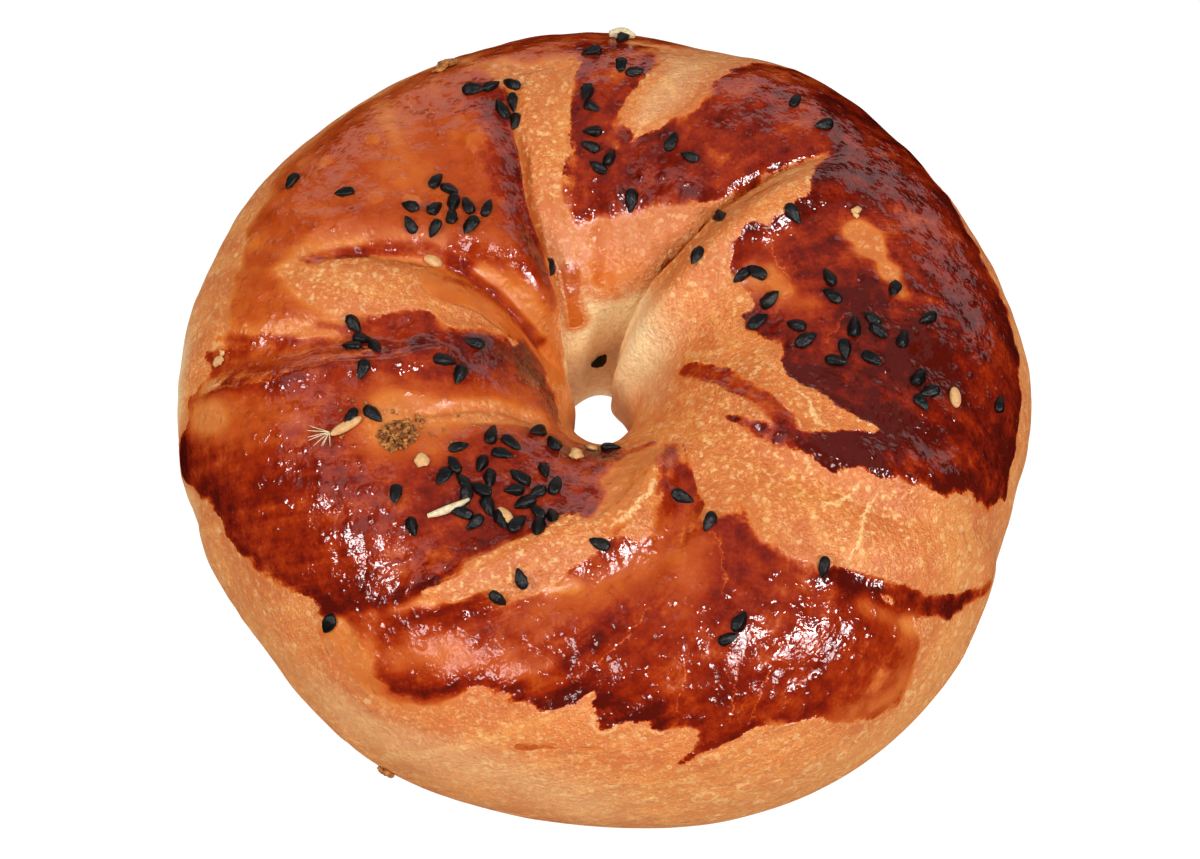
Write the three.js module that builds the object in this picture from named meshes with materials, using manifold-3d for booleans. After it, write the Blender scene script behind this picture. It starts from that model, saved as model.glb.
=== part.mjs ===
// Acma: a soft ring of twisted, egg-washed dough, baked and strewn with nigella seeds.
// Millimetres, +Z up. The origin is under the middle of the ring, on the surface it rests on.
// A place on the crust is a bearing round the ring, in degrees from +X, and an angle across the
// roll of dough: 0 at the outer side, 90 on the crest, 180 on the wall of the hole.
import * as THREE from "three";
import { mergeVertices } from "three/addons/utils/BufferGeometryUtils.js";
import Module from "manifold-3d";

// Form of the ring
const OUTER_RADII = [
  58.0, 57.3, 56.7, 56.6, 57.0, 55.8, 56.6, 56.4, 56.4, 56.4, 57.5, 57.6,
  57.3, 57.3, 55.9, 56.3, 57.3, 57.0, 57.4, 58.8, 59.6, 59.3, 58.0, 56.6,
]; // every 15 degrees of bearing
const HOLE_RADII = [3.7, 4.2, 5.5, 7.2, 6.3, 5.6, 5.2, 5.6, 6.8, 8.2, 6.3, 4.4]; // every 30 degrees
const CREST_HEIGHTS = [44.0, 44.6, 43.4, 41.8, 43.0, 44.2, 44.6, 45.0, 44.2, 43.2, 43.8, 44.6];
const WAIST_HEIGHT = 19; // where the roll is widest
const BASE_TRIM = 2; // how much of the round underside the baking tray has flattened
const TOP_POWER = 2.15; // 2 is an ellipse, more is squarer
const UNDERSIDE_POWER = 2.7;
const MIDDLE = new THREE.Vector2(-0.35, 0.5); // of the ring's own axis, so that the box is centred

// Folds of the twisted dough. A path runs through places on the crust, [bearing, across].
// Depth goes in, and a negative one stands up. A lip swells beside the fold, on the left of the path,
// or on its right where it is negative.
const FOLDS = {
  right_lip: {
    depth: 2.6, width: 2.5, lip: 2.3,
    path: [[39, 60], [45, 90], [51, 118], [58, 137], [69, 157], [79, 182], [84, 206]],
  },
  left_lip: {
    depth: 2.0, width: 2.6, lip: -1.2,
    path: [[108, 66], [113, 95], [118, 112], [123, 136], [130, 158], [140, 182], [146, 204]],
  },
  funnel: {
    depth: 0.9, width: 8.0, lip: 0,
    path: [[84, 84], [87, 110], [91, 136], [97, 172]],
  },
  left_groove: {
    depth: 1.7, width: 2.6, lip: 0.6,
    path: [[166, 62], [159, 90], [154, 106], [151, 124], [155, 147], [166, 170]],
  },
  left_strand: {
    depth: -0.8, width: 2.6, lip: 0,
    path: [[144, 104], [137, 122], [138, 148]],
  },
  left_valley: {
    depth: 1.7, width: 3.4, lip: 0,
    path: [[181, 24], [183, 58], [183, 84], [182, 108]],
  },
  left_tear: {
    depth: -0.9, width: 2.2, lip: 0,
    path: [[185, 28], [189, 58], [190, 80], [192, 98], [187, 116]],
  },
  left_band: {
    depth: 1.2, width: 3.4, lip: 0,
    path: [[208, 88], [214, 108], [221, 122], [236, 138]],
  },
  front_seam: {
    depth: -1.7, width: 3.4, lip: 0,
    path: [[234, 52], [243, 68], [251, 80], [262, 92], [275, 98], [288, 111], [299, 122]],
  },
  front_groove: {
    depth: 1.2, width: 2.8, lip: 0,
    path: [[240, 50], [252, 68], [266, 80], [280, 88], [293, 102], [301, 116]],
  },
  right_ridge: {
    depth: -0.8, width: 3.2, lip: 0,
    path: [[334, 120], [324, 100], [326, 86], [329, 72], [333, 56], [338, 36]],
  },
  right_groove: {
    depth: 1.0, width: 3.0, lip: 0,
    path: [[330, 124], [318, 98], [320, 84], [323, 70], [327, 54], [333, 36], [338, 10], [339, -24]],
  },
  front_right_groove: {
    depth: 1.0, width: 3.0, lip: 0,
    path: [[310, 68], [316, 44], [322, 30], [331, 8]],
  },
  left_side_groove: {
    depth: 1.0, width: 3.0, lip: 0,
    path: [[203, 30], [196, 12], [194, -22]],
  },
};
const FOLD_STEPS = 48; // points along each fold
const FOLD_TAPER = 0.16; // share of its length over which a fold runs out at each end
const LIP_SHIFT = 1.7; // in widths of the fold
const LIP_SPREAD = 1.2;
const UNDERSIDE_FADE = [-0.5, -0.1]; // sine of the angle across, between which folds run out below

// Nigella seeds
const SEED = { length: 3.1, width: 1.9, thickness: 1.5, taper: 0.3, rise: 0.25 };
const SEED_GAP = 2.0; // least distance between the middles of two seeds
const SEED_TRIES = 60; // places drawn for a cluster before it is left short
const SEED_FACETS = [4, 3]; // round a seed and along it
const FIRST_DRAW = 20251; // of the seeded draws
const DRAW_FACTOR = 1664525;
const DRAW_STEP = 1013904223;
const SEED_CLUSTERS = [
  [110, 68, 4, 4.0], [111, 82, 2, 1.6], [150, 53, 1, 0], [150, 74, 1, 0], [123, 132, 1, 0],
  [138, 93, 2, 1.8], [147, 97, 5, 3.4], [142, 99, 2, 2.0], [137, 107, 3, 2.6],
  [185, 90, 3, 3.4], [190, 89, 2, 2.4], [186, 121, 1, 0], [199, 110, 2, 2.2], [205, 82, 2, 2.2],
  [87, 46, 1, 0], [92, 60, 1, 0], [86, 69, 2, 1.6], [93, 82, 2, 1.4], [93, 93, 2, 1.6],
  [91, 99, 2, 2.2], [69, 93, 2, 2.8], [80, 113, 1, 0], [54, 62, 1, 0], [47, 63, 1, 0],
  [95, 180, 1, 0], [57, 134, 1, 0], [43, 107, 1, 0], [32, 92, 1, 0], [38, 119, 1, 0],
  [23, 110, 2, 1.4], [8, 91, 2, 2.6], [7, 110, 2, 2.0], [358, 98, 2, 2.0], [350, 89, 2, 1.6],
  [8, 75, 1, 0], [358, 83, 3, 2.0], [357, 74, 1, 0], [2, 67, 1, 0], [350, 67, 1, 0],
  [351, 81, 1, 0], [346, 64, 2, 1.8], [352, 38, 1, 0],
  [227, 100, 2, 2.2], [234, 109, 3, 2.4], [230, 92, 2, 1.6], [236, 98, 4, 2.4], [239, 91, 4, 2.2],
  [247, 89, 2, 2.0], [253, 96, 4, 2.4], [247, 102, 3, 2.2], [251, 110, 2, 2.6],
  [243, 127, 2, 1.6], [274, 137, 1, 0], [224, 79, 1, 0], [231, 76, 1, 0], [251, 71, 1, 0],
  [254, 78, 1, 0], [228, 36, 1, 0], [269, 91, 1, 0], [292, 103, 1, 0], [295, 92, 1, 0],
  [309, 66, 1, 0], [291, 63, 2, 1.4],
]; // bearing, across, number of seeds, reach of the cluster

// Facets
const BEARING_STEPS = 88;
const ACROSS_STEPS = 38;
const TOP_ARC = [-35, 215]; // from the outer side over the crest into the hole
const TOP_SHARE = 0.8; // of the facets across the roll

const DEGREE = Math.PI / 180;
const PROBE = 0.5; // degrees, for reading slopes

// A value at any bearing from values evenly spaced round the ring, on a smooth closed curve.
function around(values, bearing) {
  const count = values.length;
  const place = (THREE.MathUtils.euclideanModulo(bearing, 360) / 360) * count;
  const whole = Math.floor(place);
  const part = place - whole;
  const [a, b, c, d] = [-1, 0, 1, 2].map((k) => values[(whole + k + count) % count]);
  const curve = 2 * a - 5 * b + 4 * c - d + part * (3 * (b - c) + d - a);
  return b + 0.5 * part * (c - a + part * curve);
}

function signedPower(value, power) {
  return Math.sign(value) * Math.abs(value) ** power;
}

// A point of the plain ring, before it has folds.
function ringPoint(bearing, across) {
  const outer = around(OUTER_RADII, bearing);
  const hole = around(HOLE_RADII, bearing);
  const [cosine, sine] = [Math.cos(across * DEGREE), Math.sin(across * DEGREE)];
  const power = 2 / (sine < 0 ? UNDERSIDE_POWER : TOP_POWER);
  const reach = sine < 0 ? WAIST_HEIGHT + BASE_TRIM : around(CREST_HEIGHTS, bearing) - WAIST_HEIGHT;
  const radius = (outer + hole) / 2 + ((outer - hole) / 2) * signedPower(cosine, power);
  const height = WAIST_HEIGHT + reach * signedPower(sine, power);
  return new THREE.Vector3(
    MIDDLE.x + radius * Math.cos(bearing * DEGREE),
    MIDDLE.y + radius * Math.sin(bearing * DEGREE),
    Math.max(height, 0),
  );
}

// The way out of a surface, at right angles to it.
function outward(surface, bearing, across) {
  const along = surface(bearing + PROBE, across).sub(surface(bearing - PROBE, across));
  const over = surface(bearing, across + PROBE).sub(surface(bearing, across - PROBE));
  return along.cross(over).normalize();
}

// A fold's line on the plain ring, with its direction at each point.
function foldLine(fold) {
  const places = fold.path.map(([bearing, across]) => new THREE.Vector3(bearing, across, 0));
  const curve = new THREE.CatmullRomCurve3(places, false, "catmullrom", 0.5);
  const points = curve.getPoints(FOLD_STEPS).map((place) => ringPoint(place.x, place.y));
  const ways = points.map((point, i) =>
    new THREE.Vector3().subVectors(
      points[Math.min(i + 1, FOLD_STEPS)],
      points[Math.max(i - 1, 0)],
    ),
  );
  return { ...fold, points, ways };
}

// How far a fold moves a point of the plain ring out.
function foldRelief(fold, point, way) {
  let nearest = 0;
  let least = Infinity;
  fold.points.forEach((other, i) => {
    const gap = point.distanceToSquared(other);
    if (gap < least) [least, nearest] = [gap, i];
  });
  const offset = new THREE.Vector3().subVectors(point, fold.points[nearest]);
  const left = new THREE.Vector3().crossVectors(way, fold.ways[nearest]);
  const gap = (Math.sqrt(least) / fold.width) * Math.sign(left.dot(offset));
  const end = Math.min(nearest, FOLD_STEPS - nearest) / FOLD_STEPS;
  const taper = THREE.MathUtils.smoothstep(end, 0, FOLD_TAPER);
  const lip = Math.exp(-(((gap - LIP_SHIFT * Math.sign(fold.lip)) / LIP_SPREAD) ** 2));
  return taper * (Math.abs(fold.lip) * lip - fold.depth * Math.exp(-(gap ** 2)));
}

const foldLines = Object.values(FOLDS).map(foldLine);

// A point of the crust: the plain ring with its folds, flat where it rests.
function crustPoint(bearing, across) {
  const point = ringPoint(bearing, across);
  const way = outward(ringPoint, bearing, across);
  const relief = foldLines.reduce((sum, fold) => sum + foldRelief(fold, point, way), 0);
  const fade = THREE.MathUtils.smoothstep(Math.sin(across * DEGREE), ...UNDERSIDE_FADE);
  point.addScaledVector(way, relief * fade);
  point.z = Math.max(point.z, 0);
  return point;
}

// The angle across the roll at a share of the way round it: facets lie close together on top and
// wider apart underneath.
function acrossAt(share) {
  const [start, end] = TOP_ARC;
  if (share < TOP_SHARE) return start + (end - start) * (share / TOP_SHARE);
  return end + (start + 360 - end) * ((share - TOP_SHARE) / (1 - TOP_SHARE));
}

// The crust: a torus whose points are moved to where the folded dough has them.
function crustGeometry() {
  const geometry = new THREE.TorusGeometry(1, 0.5, ACROSS_STEPS, BEARING_STEPS);
  const position = geometry.getAttribute("position");
  const place = geometry.getAttribute("uv");
  for (let i = 0; i < position.count; i++) {
    const point = crustPoint(360 * (place.getX(i) % 1), acrossAt(place.getY(i) % 1));
    position.setXYZ(i, point.x, point.y, point.z);
  }
  return geometry;
}

// Numbers from 0 to 1, the same ones each time.
function draws(start) {
  let state = start;
  return () => {
    state = (Math.imul(state, DRAW_FACTOR) + DRAW_STEP) >>> 0;
    return state / 2 ** 32;
  };
}

// A place in a cluster, drawn evenly over its round patch, with the turn of its seed.
function drawPlace([bearing, across, , reach], draw) {
  const turn = 2 * Math.PI * draw();
  const away = reach * Math.sqrt(draw());
  const middle = ringPoint(bearing, across);
  const radius = Math.hypot(middle.x - MIDDLE.x, middle.y - MIDDLE.y);
  const roll = (around(OUTER_RADII, bearing) - around(HOLE_RADII, bearing)) / 2;
  return {
    bearing: bearing + (away * Math.cos(turn)) / (radius * DEGREE),
    across: across + (away * Math.sin(turn)) / (roll * DEGREE),
    turn: 2 * Math.PI * draw(),
  };
}

// Every seed's place, cluster by cluster, spaced on the plain ring.
function seedPlaces() {
  const draw = draws(FIRST_DRAW);
  const taken = [];
  for (const cluster of SEED_CLUSTERS) {
    let wanted = cluster[2];
    for (let i = 0; i < SEED_TRIES && wanted > 0; i++) {
      const place = drawPlace(cluster, draw);
      const spot = ringPoint(place.bearing, place.across);
      if (taken.every((other) => other.spot.distanceTo(spot) > SEED_GAP)) {
        taken.push({ ...place, spot });
        wanted -= 1;
      }
    }
  }
  return taken;
}

// One seed: a four-sided drop, blunt at one end.
function seedGeometry({ bearing, across, turn }) {
  const geometry = new THREE.SphereGeometry(0.5, ...SEED_FACETS);
  const position = geometry.getAttribute("position");
  for (let i = 0; i < position.count; i++) {
    const waist = 1 - 2 * SEED.taper * position.getY(i);
    position.setXYZ(
      i,
      position.getX(i) * SEED.width * waist,
      position.getY(i) * SEED.length,
      position.getZ(i) * SEED.thickness * waist,
    );
  }
  const point = crustPoint(bearing, across);
  const way = outward(crustPoint, bearing, across);
  const lay = new THREE.Quaternion().setFromUnitVectors(new THREE.Vector3(0, 0, 1), way);
  geometry.rotateZ(turn).applyQuaternion(lay);
  return geometry.translate(...point.addScaledVector(way, SEED.rise).toArray());
}

const wasm = await Module();
wasm.setup();

function solidOf(geometry) {
  const bare = geometry.clone();
  bare.deleteAttribute("normal");
  bare.deleteAttribute("uv");
  const merged = mergeVertices(bare);
  return new wasm.Manifold(
    new wasm.Mesh({
      numProp: 3,
      vertProperties: merged.getAttribute("position").array,
      triVerts: new Uint32Array(merged.index.array),
    }),
  );
}

function geometryOf(solid) {
  const mesh = solid.getMesh();
  const geometry = new THREE.BufferGeometry();
  geometry.setAttribute("position", new THREE.BufferAttribute(mesh.vertProperties, 3));
  geometry.setIndex(new THREE.BufferAttribute(mesh.triVerts, 1));
  geometry.computeVertexNormals();
  return geometry;
}

// The crust with its seeds fused on, as one solid.
function acmaGeometry() {
  const seeds = seedPlaces().map(seedGeometry).map(solidOf);
  const fused = seeds.reduce((whole, seed) => whole.add(seed), solidOf(crustGeometry()));
  const [largest] = fused.decompose().sort((a, b) => b.volume() - a.volume());
  return geometryOf(largest);
}

const crustMaterial = new THREE.MeshStandardMaterial({
  color: 0xb5652f,
  roughness: 0.45,
  metalness: 0,
});
const bread = new THREE.Mesh(acmaGeometry(), crustMaterial);
bread.name = "bread_ring";

const acma = new THREE.Group();
acma.add(bread);

export default acma;
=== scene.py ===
"""Acma: a soft ring of twisted, egg-washed bread strewn with nigella seeds, dressed over its solid.

A place on the crust is a bearing round the ring, in degrees from +X, and an angle across the roll
of dough: 0 at the outer side, 90 on the crest, 180 on the wall of the hole. The form is worked out
in millimetres and made in metres.
"""
import math

import bpy
import numpy as np
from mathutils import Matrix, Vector


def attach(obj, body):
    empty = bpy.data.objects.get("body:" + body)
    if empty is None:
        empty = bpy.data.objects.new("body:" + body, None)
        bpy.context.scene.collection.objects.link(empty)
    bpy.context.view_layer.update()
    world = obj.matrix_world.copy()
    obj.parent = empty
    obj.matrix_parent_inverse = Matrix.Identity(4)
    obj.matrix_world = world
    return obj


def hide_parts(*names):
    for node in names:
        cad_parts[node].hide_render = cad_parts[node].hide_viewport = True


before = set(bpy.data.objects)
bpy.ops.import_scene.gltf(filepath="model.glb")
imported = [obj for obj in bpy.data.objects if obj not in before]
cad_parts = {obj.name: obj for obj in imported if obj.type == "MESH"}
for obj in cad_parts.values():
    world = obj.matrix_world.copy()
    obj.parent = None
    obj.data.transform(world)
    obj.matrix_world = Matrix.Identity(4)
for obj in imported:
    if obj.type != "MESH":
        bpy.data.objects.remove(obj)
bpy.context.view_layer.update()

bl_info = {
    "name": "Acma Bread Ring",
    "version": (1, 0, 0),
    "blender": (4, 5, 0),
    "location": "3D View > Sidebar > Acma",
    "description": "Makes a glazed ring of twisted bread with nigella seeds, grains and crumbs",
    "category": "Add Mesh",
}

NODE = "bread_ring"
BODY = "root"
MM = 0.001
DEGREE = math.pi / 180

# Form of the ring
OUTER_RADII = [
    58.0, 57.3, 56.7, 56.6, 57.0, 55.8, 56.6, 56.4, 56.4, 56.4, 57.5, 57.6,
    57.3, 57.3, 55.9, 56.3, 57.3, 57.0, 57.4, 58.8, 59.6, 59.3, 58.0, 56.6,
]
HOLE_RADII = [3.7, 4.2, 5.5, 7.2, 6.3, 5.6, 5.2, 5.6, 6.8, 8.2, 6.3, 4.4]
CREST_HEIGHTS = [44.0, 44.6, 43.4, 41.8, 43.0, 44.2, 44.6, 45.0, 44.2, 43.2, 43.8, 44.6]
WAIST_HEIGHT = 19
BASE_TRIM = 2
TOP_POWER = 2.15
UNDERSIDE_POWER = 2.7
MIDDLE = (-0.35, 0.5)
PROBE = 0.5  # degrees, for reading slopes

# Folds of the twisted dough: depth, width, lip and path. A negative depth stands up, and the lip
# swells on the left of the path, or on its right where it is negative.
FOLDS = {
    "right_lip": (2.6, 2.5, 2.3, [
        (39, 60), (45, 90), (51, 118), (58, 137), (69, 157), (79, 182), (84, 206)]),
    "left_lip": (2.0, 2.6, -1.2, [
        (108, 66), (113, 95), (118, 112), (123, 136), (130, 158), (140, 182), (146, 204)]),
    "funnel": (0.9, 8.0, 0, [(84, 84), (87, 110), (91, 136), (97, 172)]),
    "left_groove": (1.7, 2.6, 0.6, [
        (166, 62), (159, 90), (154, 106), (151, 124), (155, 147), (166, 170)]),
    "left_strand": (-0.8, 2.6, 0, [(144, 104), (137, 122), (138, 148)]),
    "left_valley": (1.7, 3.4, 0, [(181, 24), (183, 58), (183, 84), (182, 108)]),
    "left_tear": (-0.9, 2.2, 0, [(185, 28), (189, 58), (190, 80), (192, 98), (187, 116)]),
    "left_band": (1.2, 3.4, 0, [(208, 88), (214, 108), (221, 122), (236, 138)]),
    "front_seam": (-1.7, 3.4, 0, [
        (234, 52), (243, 68), (251, 80), (262, 92), (275, 98), (288, 111), (299, 122)]),
    "front_groove": (1.2, 2.8, 0, [
        (240, 50), (252, 68), (266, 80), (280, 88), (293, 102), (301, 116)]),
    "right_ridge": (-0.8, 3.2, 0, [
        (334, 120), (324, 100), (326, 86), (329, 72), (333, 56), (338, 36)]),
    "right_groove": (1.0, 3.0, 0, [
        (330, 124), (318, 98), (320, 84), (323, 70), (327, 54), (333, 36), (338, 10), (339, -24)]),
    "front_right_groove": (1.0, 3.0, 0, [(310, 68), (316, 44), (322, 30), (331, 8)]),
    "left_side_groove": (1.0, 3.0, 0, [(203, 30), (196, 12), (194, -22)]),
}
FOLD_STEPS = 48
FOLD_TAPER = 0.16
LIP_SHIFT = 1.7
LIP_SPREAD = 1.2
UNDERSIDE_FADE = (-0.5, -0.1)

# Egg wash: how thick it is, from 0 to 1, over how many millimetres it thins at its edge, and the
# outline of each brushed patch
PATCHES = {
    "upper_left": (0.4, 4.0, [
        (112, 40), (122, 35), (132, 33), (142, 34), (150, 38), (157, 44), (165, 52), (168, 62),
        (162, 76), (159, 90), (154, 104), (151, 120), (152, 136), (157, 152), (150, 160),
        (140, 150), (131, 141), (124, 133), (119, 120), (114, 106), (111, 92), (109, 78),
        (108, 60)]),
    "left_mottle": (0.33, 3.0, [
        (146, 40), (156, 42), (164, 40), (170, 45), (175, 44), (179, 42), (182, 60), (180, 79),
        (178, 86), (174, 76), (171, 70), (168, 66), (162, 72), (158, 60)]),
    "left_strip": (0.5, 1.0, [
        (178, 34), (179, 53), (180, 72), (180, 83), (179, 94), (175, 100), (176, 108), (180, 116),
        (178, 126), (183, 139), (193, 149), (198, 144), (190, 132), (188, 120), (188, 108),
        (188, 98), (189, 90), (190, 81), (190, 68), (188, 54), (184, 32)]),
    "left_lobe": (0.64, 1.0, [
        (185, 27), (188, 24), (187, 8), (190, 1), (195, 12), (200, 22), (206, 23), (211, 24),
        (216, 29), (221, 33), (228, 41), (234, 50), (238, 60), (243, 70), (246, 80), (251, 85),
        (256, 90), (259, 96), (265, 100), (268, 105), (270, 116), (276, 126), (282, 134),
        (272, 144), (262, 140), (250, 138), (238, 146), (222, 156), (205, 160), (190, 156),
        (176, 138), (176, 126), (180, 116), (184, 108), (187, 102), (188, 94), (189, 84),
        (189, 73), (188, 60), (186, 45)]),
    "left_join": (0.5, 1.6, [
        (226, 43), (230, 38), (234, 36), (238, 34), (243, 36), (248, 46), (247, 57), (243, 62),
        (239, 60), (234, 52), (229, 46)]),
    "left_fade": (0.3, 3.4, [
        (228, 38), (227, 31), (231, 25), (236, 23), (242, 24), (249, 31), (250, 42), (246, 50),
        (239, 53), (233, 48)]),
    "eye_lobe": (0.14, 1.6, [
        (270, 116), (278, 128), (288, 130), (296, 121), (294, 115), (285, 108), (277, 100),
        (273, 96), (267, 101)]),
    "eye_band": (0.5, 0.8, [
        (297, 123), (300, 119), (298, 113), (302, 118), (299, 108), (297, 102), (294, 93),
        (280, 92), (273, 95), (282, 98), (286, 103), (289, 109), (293, 116)]),
    "front": (0.6, 1.0, [
        (236, 50), (239, 56), (244, 65), (249, 71), (254, 74), (257, 77), (261, 84), (265, 88),
        (270, 92), (275, 95), (282, 95), (288, 93), (294, 94), (299, 92), (303, 93), (302, 86),
        (303, 78), (306, 72), (308, 66), (312, 61), (315, 52), (316, 43), (316, 35), (316, 28),
        (315, 22), (314, 16), (310, 12), (305, 13), (299, 24), (296, 26), (290, 30), (286, 27),
        (280, 23), (282, 30), (282, 36), (279, 37), (273, 36), (267, 31), (269, 40), (268, 46),
        (262, 42), (258, 42), (252, 40), (245, 33), (242, 31), (238, 33), (236, 42)]),
    "right_band": (0.78, 0.8, [
        (320, 113), (324, 104), (327, 92), (333, 82), (337, 74), (341, 67), (346, 52), (349, 36),
        (348, 22), (342, 17), (337, 24), (335, 42), (331, 58), (328, 71), (324, 80), (321, 94)]),
    "right": (0.76, 1.2, [
        (-15, 19), (-4, 23), (6, 28), (16, 32), (27, 35), (36, 28), (44, 22), (56, 24), (54, 50),
        (46, 62), (41, 70), (39, 78), (36, 86), (35, 92), (35, 99), (37, 104), (34, 109),
        (28, 113), (19, 114), (10, 113), (8, 117), (0, 115), (-4, 110), (-8, 104), (-15, 102),
        (-19, 100), (-21, 94), (-23, 87), (-24, 76), (-24, 68), (-22, 58), (-19, 40)]),
    "back": (0.6, 1.2, [
        (67, 44), (60, 32), (52, 26), (46, 44), (41, 62), (43, 74), (45, 86), (47, 96), (50, 102),
        (56, 107), (64, 108), (71, 111), (80, 116), (86, 118), (92, 117), (100, 120), (103, 110),
        (100, 100), (98, 92), (90, 96), (82, 93), (75, 88), (70, 79), (68, 64)]),
    "back_left": (0.58, 1.2, [
        (94, 50), (88, 46), (82, 50), (81, 60), (83, 75), (85, 88), (82, 92), (86, 99), (92, 106),
        (99, 110), (102, 104), (99, 97), (98, 90), (96, 82), (96, 73), (95, 60)]),
    "funnel": (0.13, 6.0, [
        (106, 106), (100, 112), (88, 112), (76, 110), (64, 106), (62, 118), (70, 130), (80, 138),
        (92, 143), (104, 138), (110, 126)]),
    "far_slope": (0.44, 4.0, [
        (74, 30), (97, 26), (114, 30), (113, 58), (104, 62), (96, 64), (88, 62), (84, 50),
        (77, 47)]),
}

# Brush marks: how far they reach each side, how strong they are, and their path
WASHED = [
    (1.5, 0.6, [(341, 134), (337, 120), (333, 110), (328, 97)]),
    (1.4, 0.62, [(311, 60), (316, 47), (319, 34), (323, 23)]),
    (0.9, 0.55, [(322, 25), (326, 17), (331, 8)]),
    (1.0, 0.6, [(166, 73), (162, 83), (154, 98), (152, 108), (150, 120), (151, 134), (156, 148)]),
    (0.7, 0.5, [(147, 106), (143, 120), (146, 138)]),
    (0.6, 0.4, [(137, 112), (134, 126), (136, 140)]),
    (2.0, 0.62, [(180, 142), (190, 149), (205, 147), (218, 145), (230, 145)]),
    (1.0, 0.22, [(108, 136), (110, 146), (111, 156)]),
    (0.6, 0.2, [(92, 124), (92, 134), (93, 142)]),
    (0.5, 0.18, [(86, 126), (86, 138), (85, 146)]),
    (3.2, 0.19, [(162, 110), (157, 126), (159, 142), (166, 158)]),
    (0.7, 0.34, [(160, 110), (155, 126), (158, 146)]),
    (0.6, 0.2, [(30, 119), (20, 121), (12, 120)]),
    (0.5, 0.3, [(236, 38), (230, 34), (226, 28)]),
    (0.4, 0.3, [(270, 28), (264, 27), (259, 24)]),
    (0.8, 0.5, [(47, 96), (53, 120), (59, 136)]),
    (0.4, 0.24, [(42, 98), (40, 90), (39, 84)]),
    (0.5, 0.6, [(280, 132), (287, 129), (293, 128)]),
]
BARE = [
    (1.8, 0.8, [(208, 91), (212, 102), (218, 115), (224, 125), (230, 132)]),
    (2.3, 0.9, [(22, 78), (18, 77)]),
    (1.6, 0.9, [(18, 76), (13, 75)]),
    (0.8, 0.9, [(13, 74), (7, 73)]),
    (0.3, 0.9, [(47, 104), (44, 92), (42, 80), (40, 70)]),
    (0.2, 0.9, [(183, 30), (187, 46), (189, 58), (190, 66)]),
    (1.2, 0.6, [(20, 104), (12, 102)]),
    (0.8, 0.7, [(264, 80), (260, 78)]),
    (1.0, 0.3, [(128, 50), (131, 60), (134, 72)]),
    (1.0, 0.8, [(148, 118), (146, 130), (150, 146)]),
]
DEEPER = [
    (2.8, 0.08, [(197, 24), (204, 30), (212, 30), (220, 34), (227, 43), (234, 52)]),
    (3.0, 0.25, [(190, 4), (188, 16)]),
    (5.0, 0.14, [(188, 108), (182, 122), (184, 138)]),
    (3.0, 0.5, [(110, 70), (114, 92), (120, 110), (126, 128)]),
    (3.0, 0.32, [(244, 34), (250, 38), (262, 43), (276, 40)]),
    (6.0, 0.08, [(272, 44), (286, 48), (296, 60)]),
    (1.5, 0.4, [(309, 64), (314, 54), (318, 37), (322, 23), (328, 12)]),
    (4.5, 0.16, [(330, 82), (338, 58), (344, 30)]),
    (5.0, 0.14, [(58, 92), (76, 106), (94, 110)]),
    (6.0, 0.16, [(-8, 72), (5, 60), (8, 86)]),
    (2.0, 0.3, [(236, 126), (258, 128), (276, 134)]),
    (1.6, 0.24, [(273, 72), (269, 64), (265, 55)]),
    (2.0, 0.12, [(297, 115), (292, 103)]),
]
THINNER = [
    (4.5, 0.3, [(258, 73), (268, 81), (282, 91)]),
    (3.0, 0.16, [(284, 70), (290, 84)]),
    (1.3, 0.34, [(316, 33), (313, 43), (311, 50)]),
    (4.0, 0.1, [(122, 52), (130, 64), (136, 78)]),
    (4.0, 0.08, [(160, 58), (150, 70), (142, 84)]),
    (5.0, 0.28, [(188, 34), (192, 46), (196, 54)]),
    (2.6, 0.35, [(186, 20), (188, 30), (191, 40)]),
    (4.0, 0.1, [(200, 66), (206, 78)]),
    (3.0, 0.3, [(246, 46), (254, 50), (262, 48)]),
    (3.0, 0.3, [(232, 36), (240, 40)]),
    (2.2, 0.4, [(22, 112), (10, 106), (6, 96)]),
    (3.0, 0.25, [(28, 100), (18, 112)]),
    (3.0, 0.25, [(206, 92), (214, 84), (222, 94)]),
    (4.4, 0.48, [(207, 90), (212, 102), (218, 115), (224, 125), (231, 133)]),
    (2.2, 0.2, [(242, 49), (247, 54)]),
    (2.4, 0.36, [(300, 22), (306, 17), (311, 17), (315, 24), (316, 32)]),
]
# Pale dough that the oven hardly coloured: how far each mark reaches, how strong it is, and its
# path. In the hole and on the outer left side, the marks also brighten dough that lies in shade, so
# they are painted light as well as pale dough.
CREAM_AND_PAINTED_LIGHT = [
    (8.0, 1.2, [(91, 164), (94, 180), (98, 200)]),
    (6.0, 0.6, [(58, 156), (70, 178)]),
    (6.0, 0.3, [(30, 142), (0, 148), (-30, 148)]),
    (10.0, 0.4, [(156, 6), (176, 2), (194, -4)]),
    (4.0, 0.4, [(176, 16), (182, 12), (187, 6)]),
    (5.0, 0.15, [(172, 74), (166, 92)]),
    (8.0, 0.34, [(232, 4), (244, 10), (258, 8), (268, 0)]),
    (5.0, 0.12, [(104, 62), (105, 84), (106, 104)]),
    (5.0, 0.35, [(76, 56), (77, 74), (80, 88)]),
]
CRACKED = [
    (3.0, 1.0, [(240, 62), (247, 75), (256, 86), (264, 95), (272, 98)]),
    (11.0, 0.8, [(310, 108), (318, 88), (326, 66)]),
    (7.0, 0.7, [(172, 76), (168, 92)]),
    (4.0, 0.8, [(338, 112), (336, 96), (338, 84)]),
    (5.0, 0.7, [(104, 66), (105, 84), (107, 104)]),
    (4.0, 0.9, [(46, 124), (34, 122)]),
]

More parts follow.
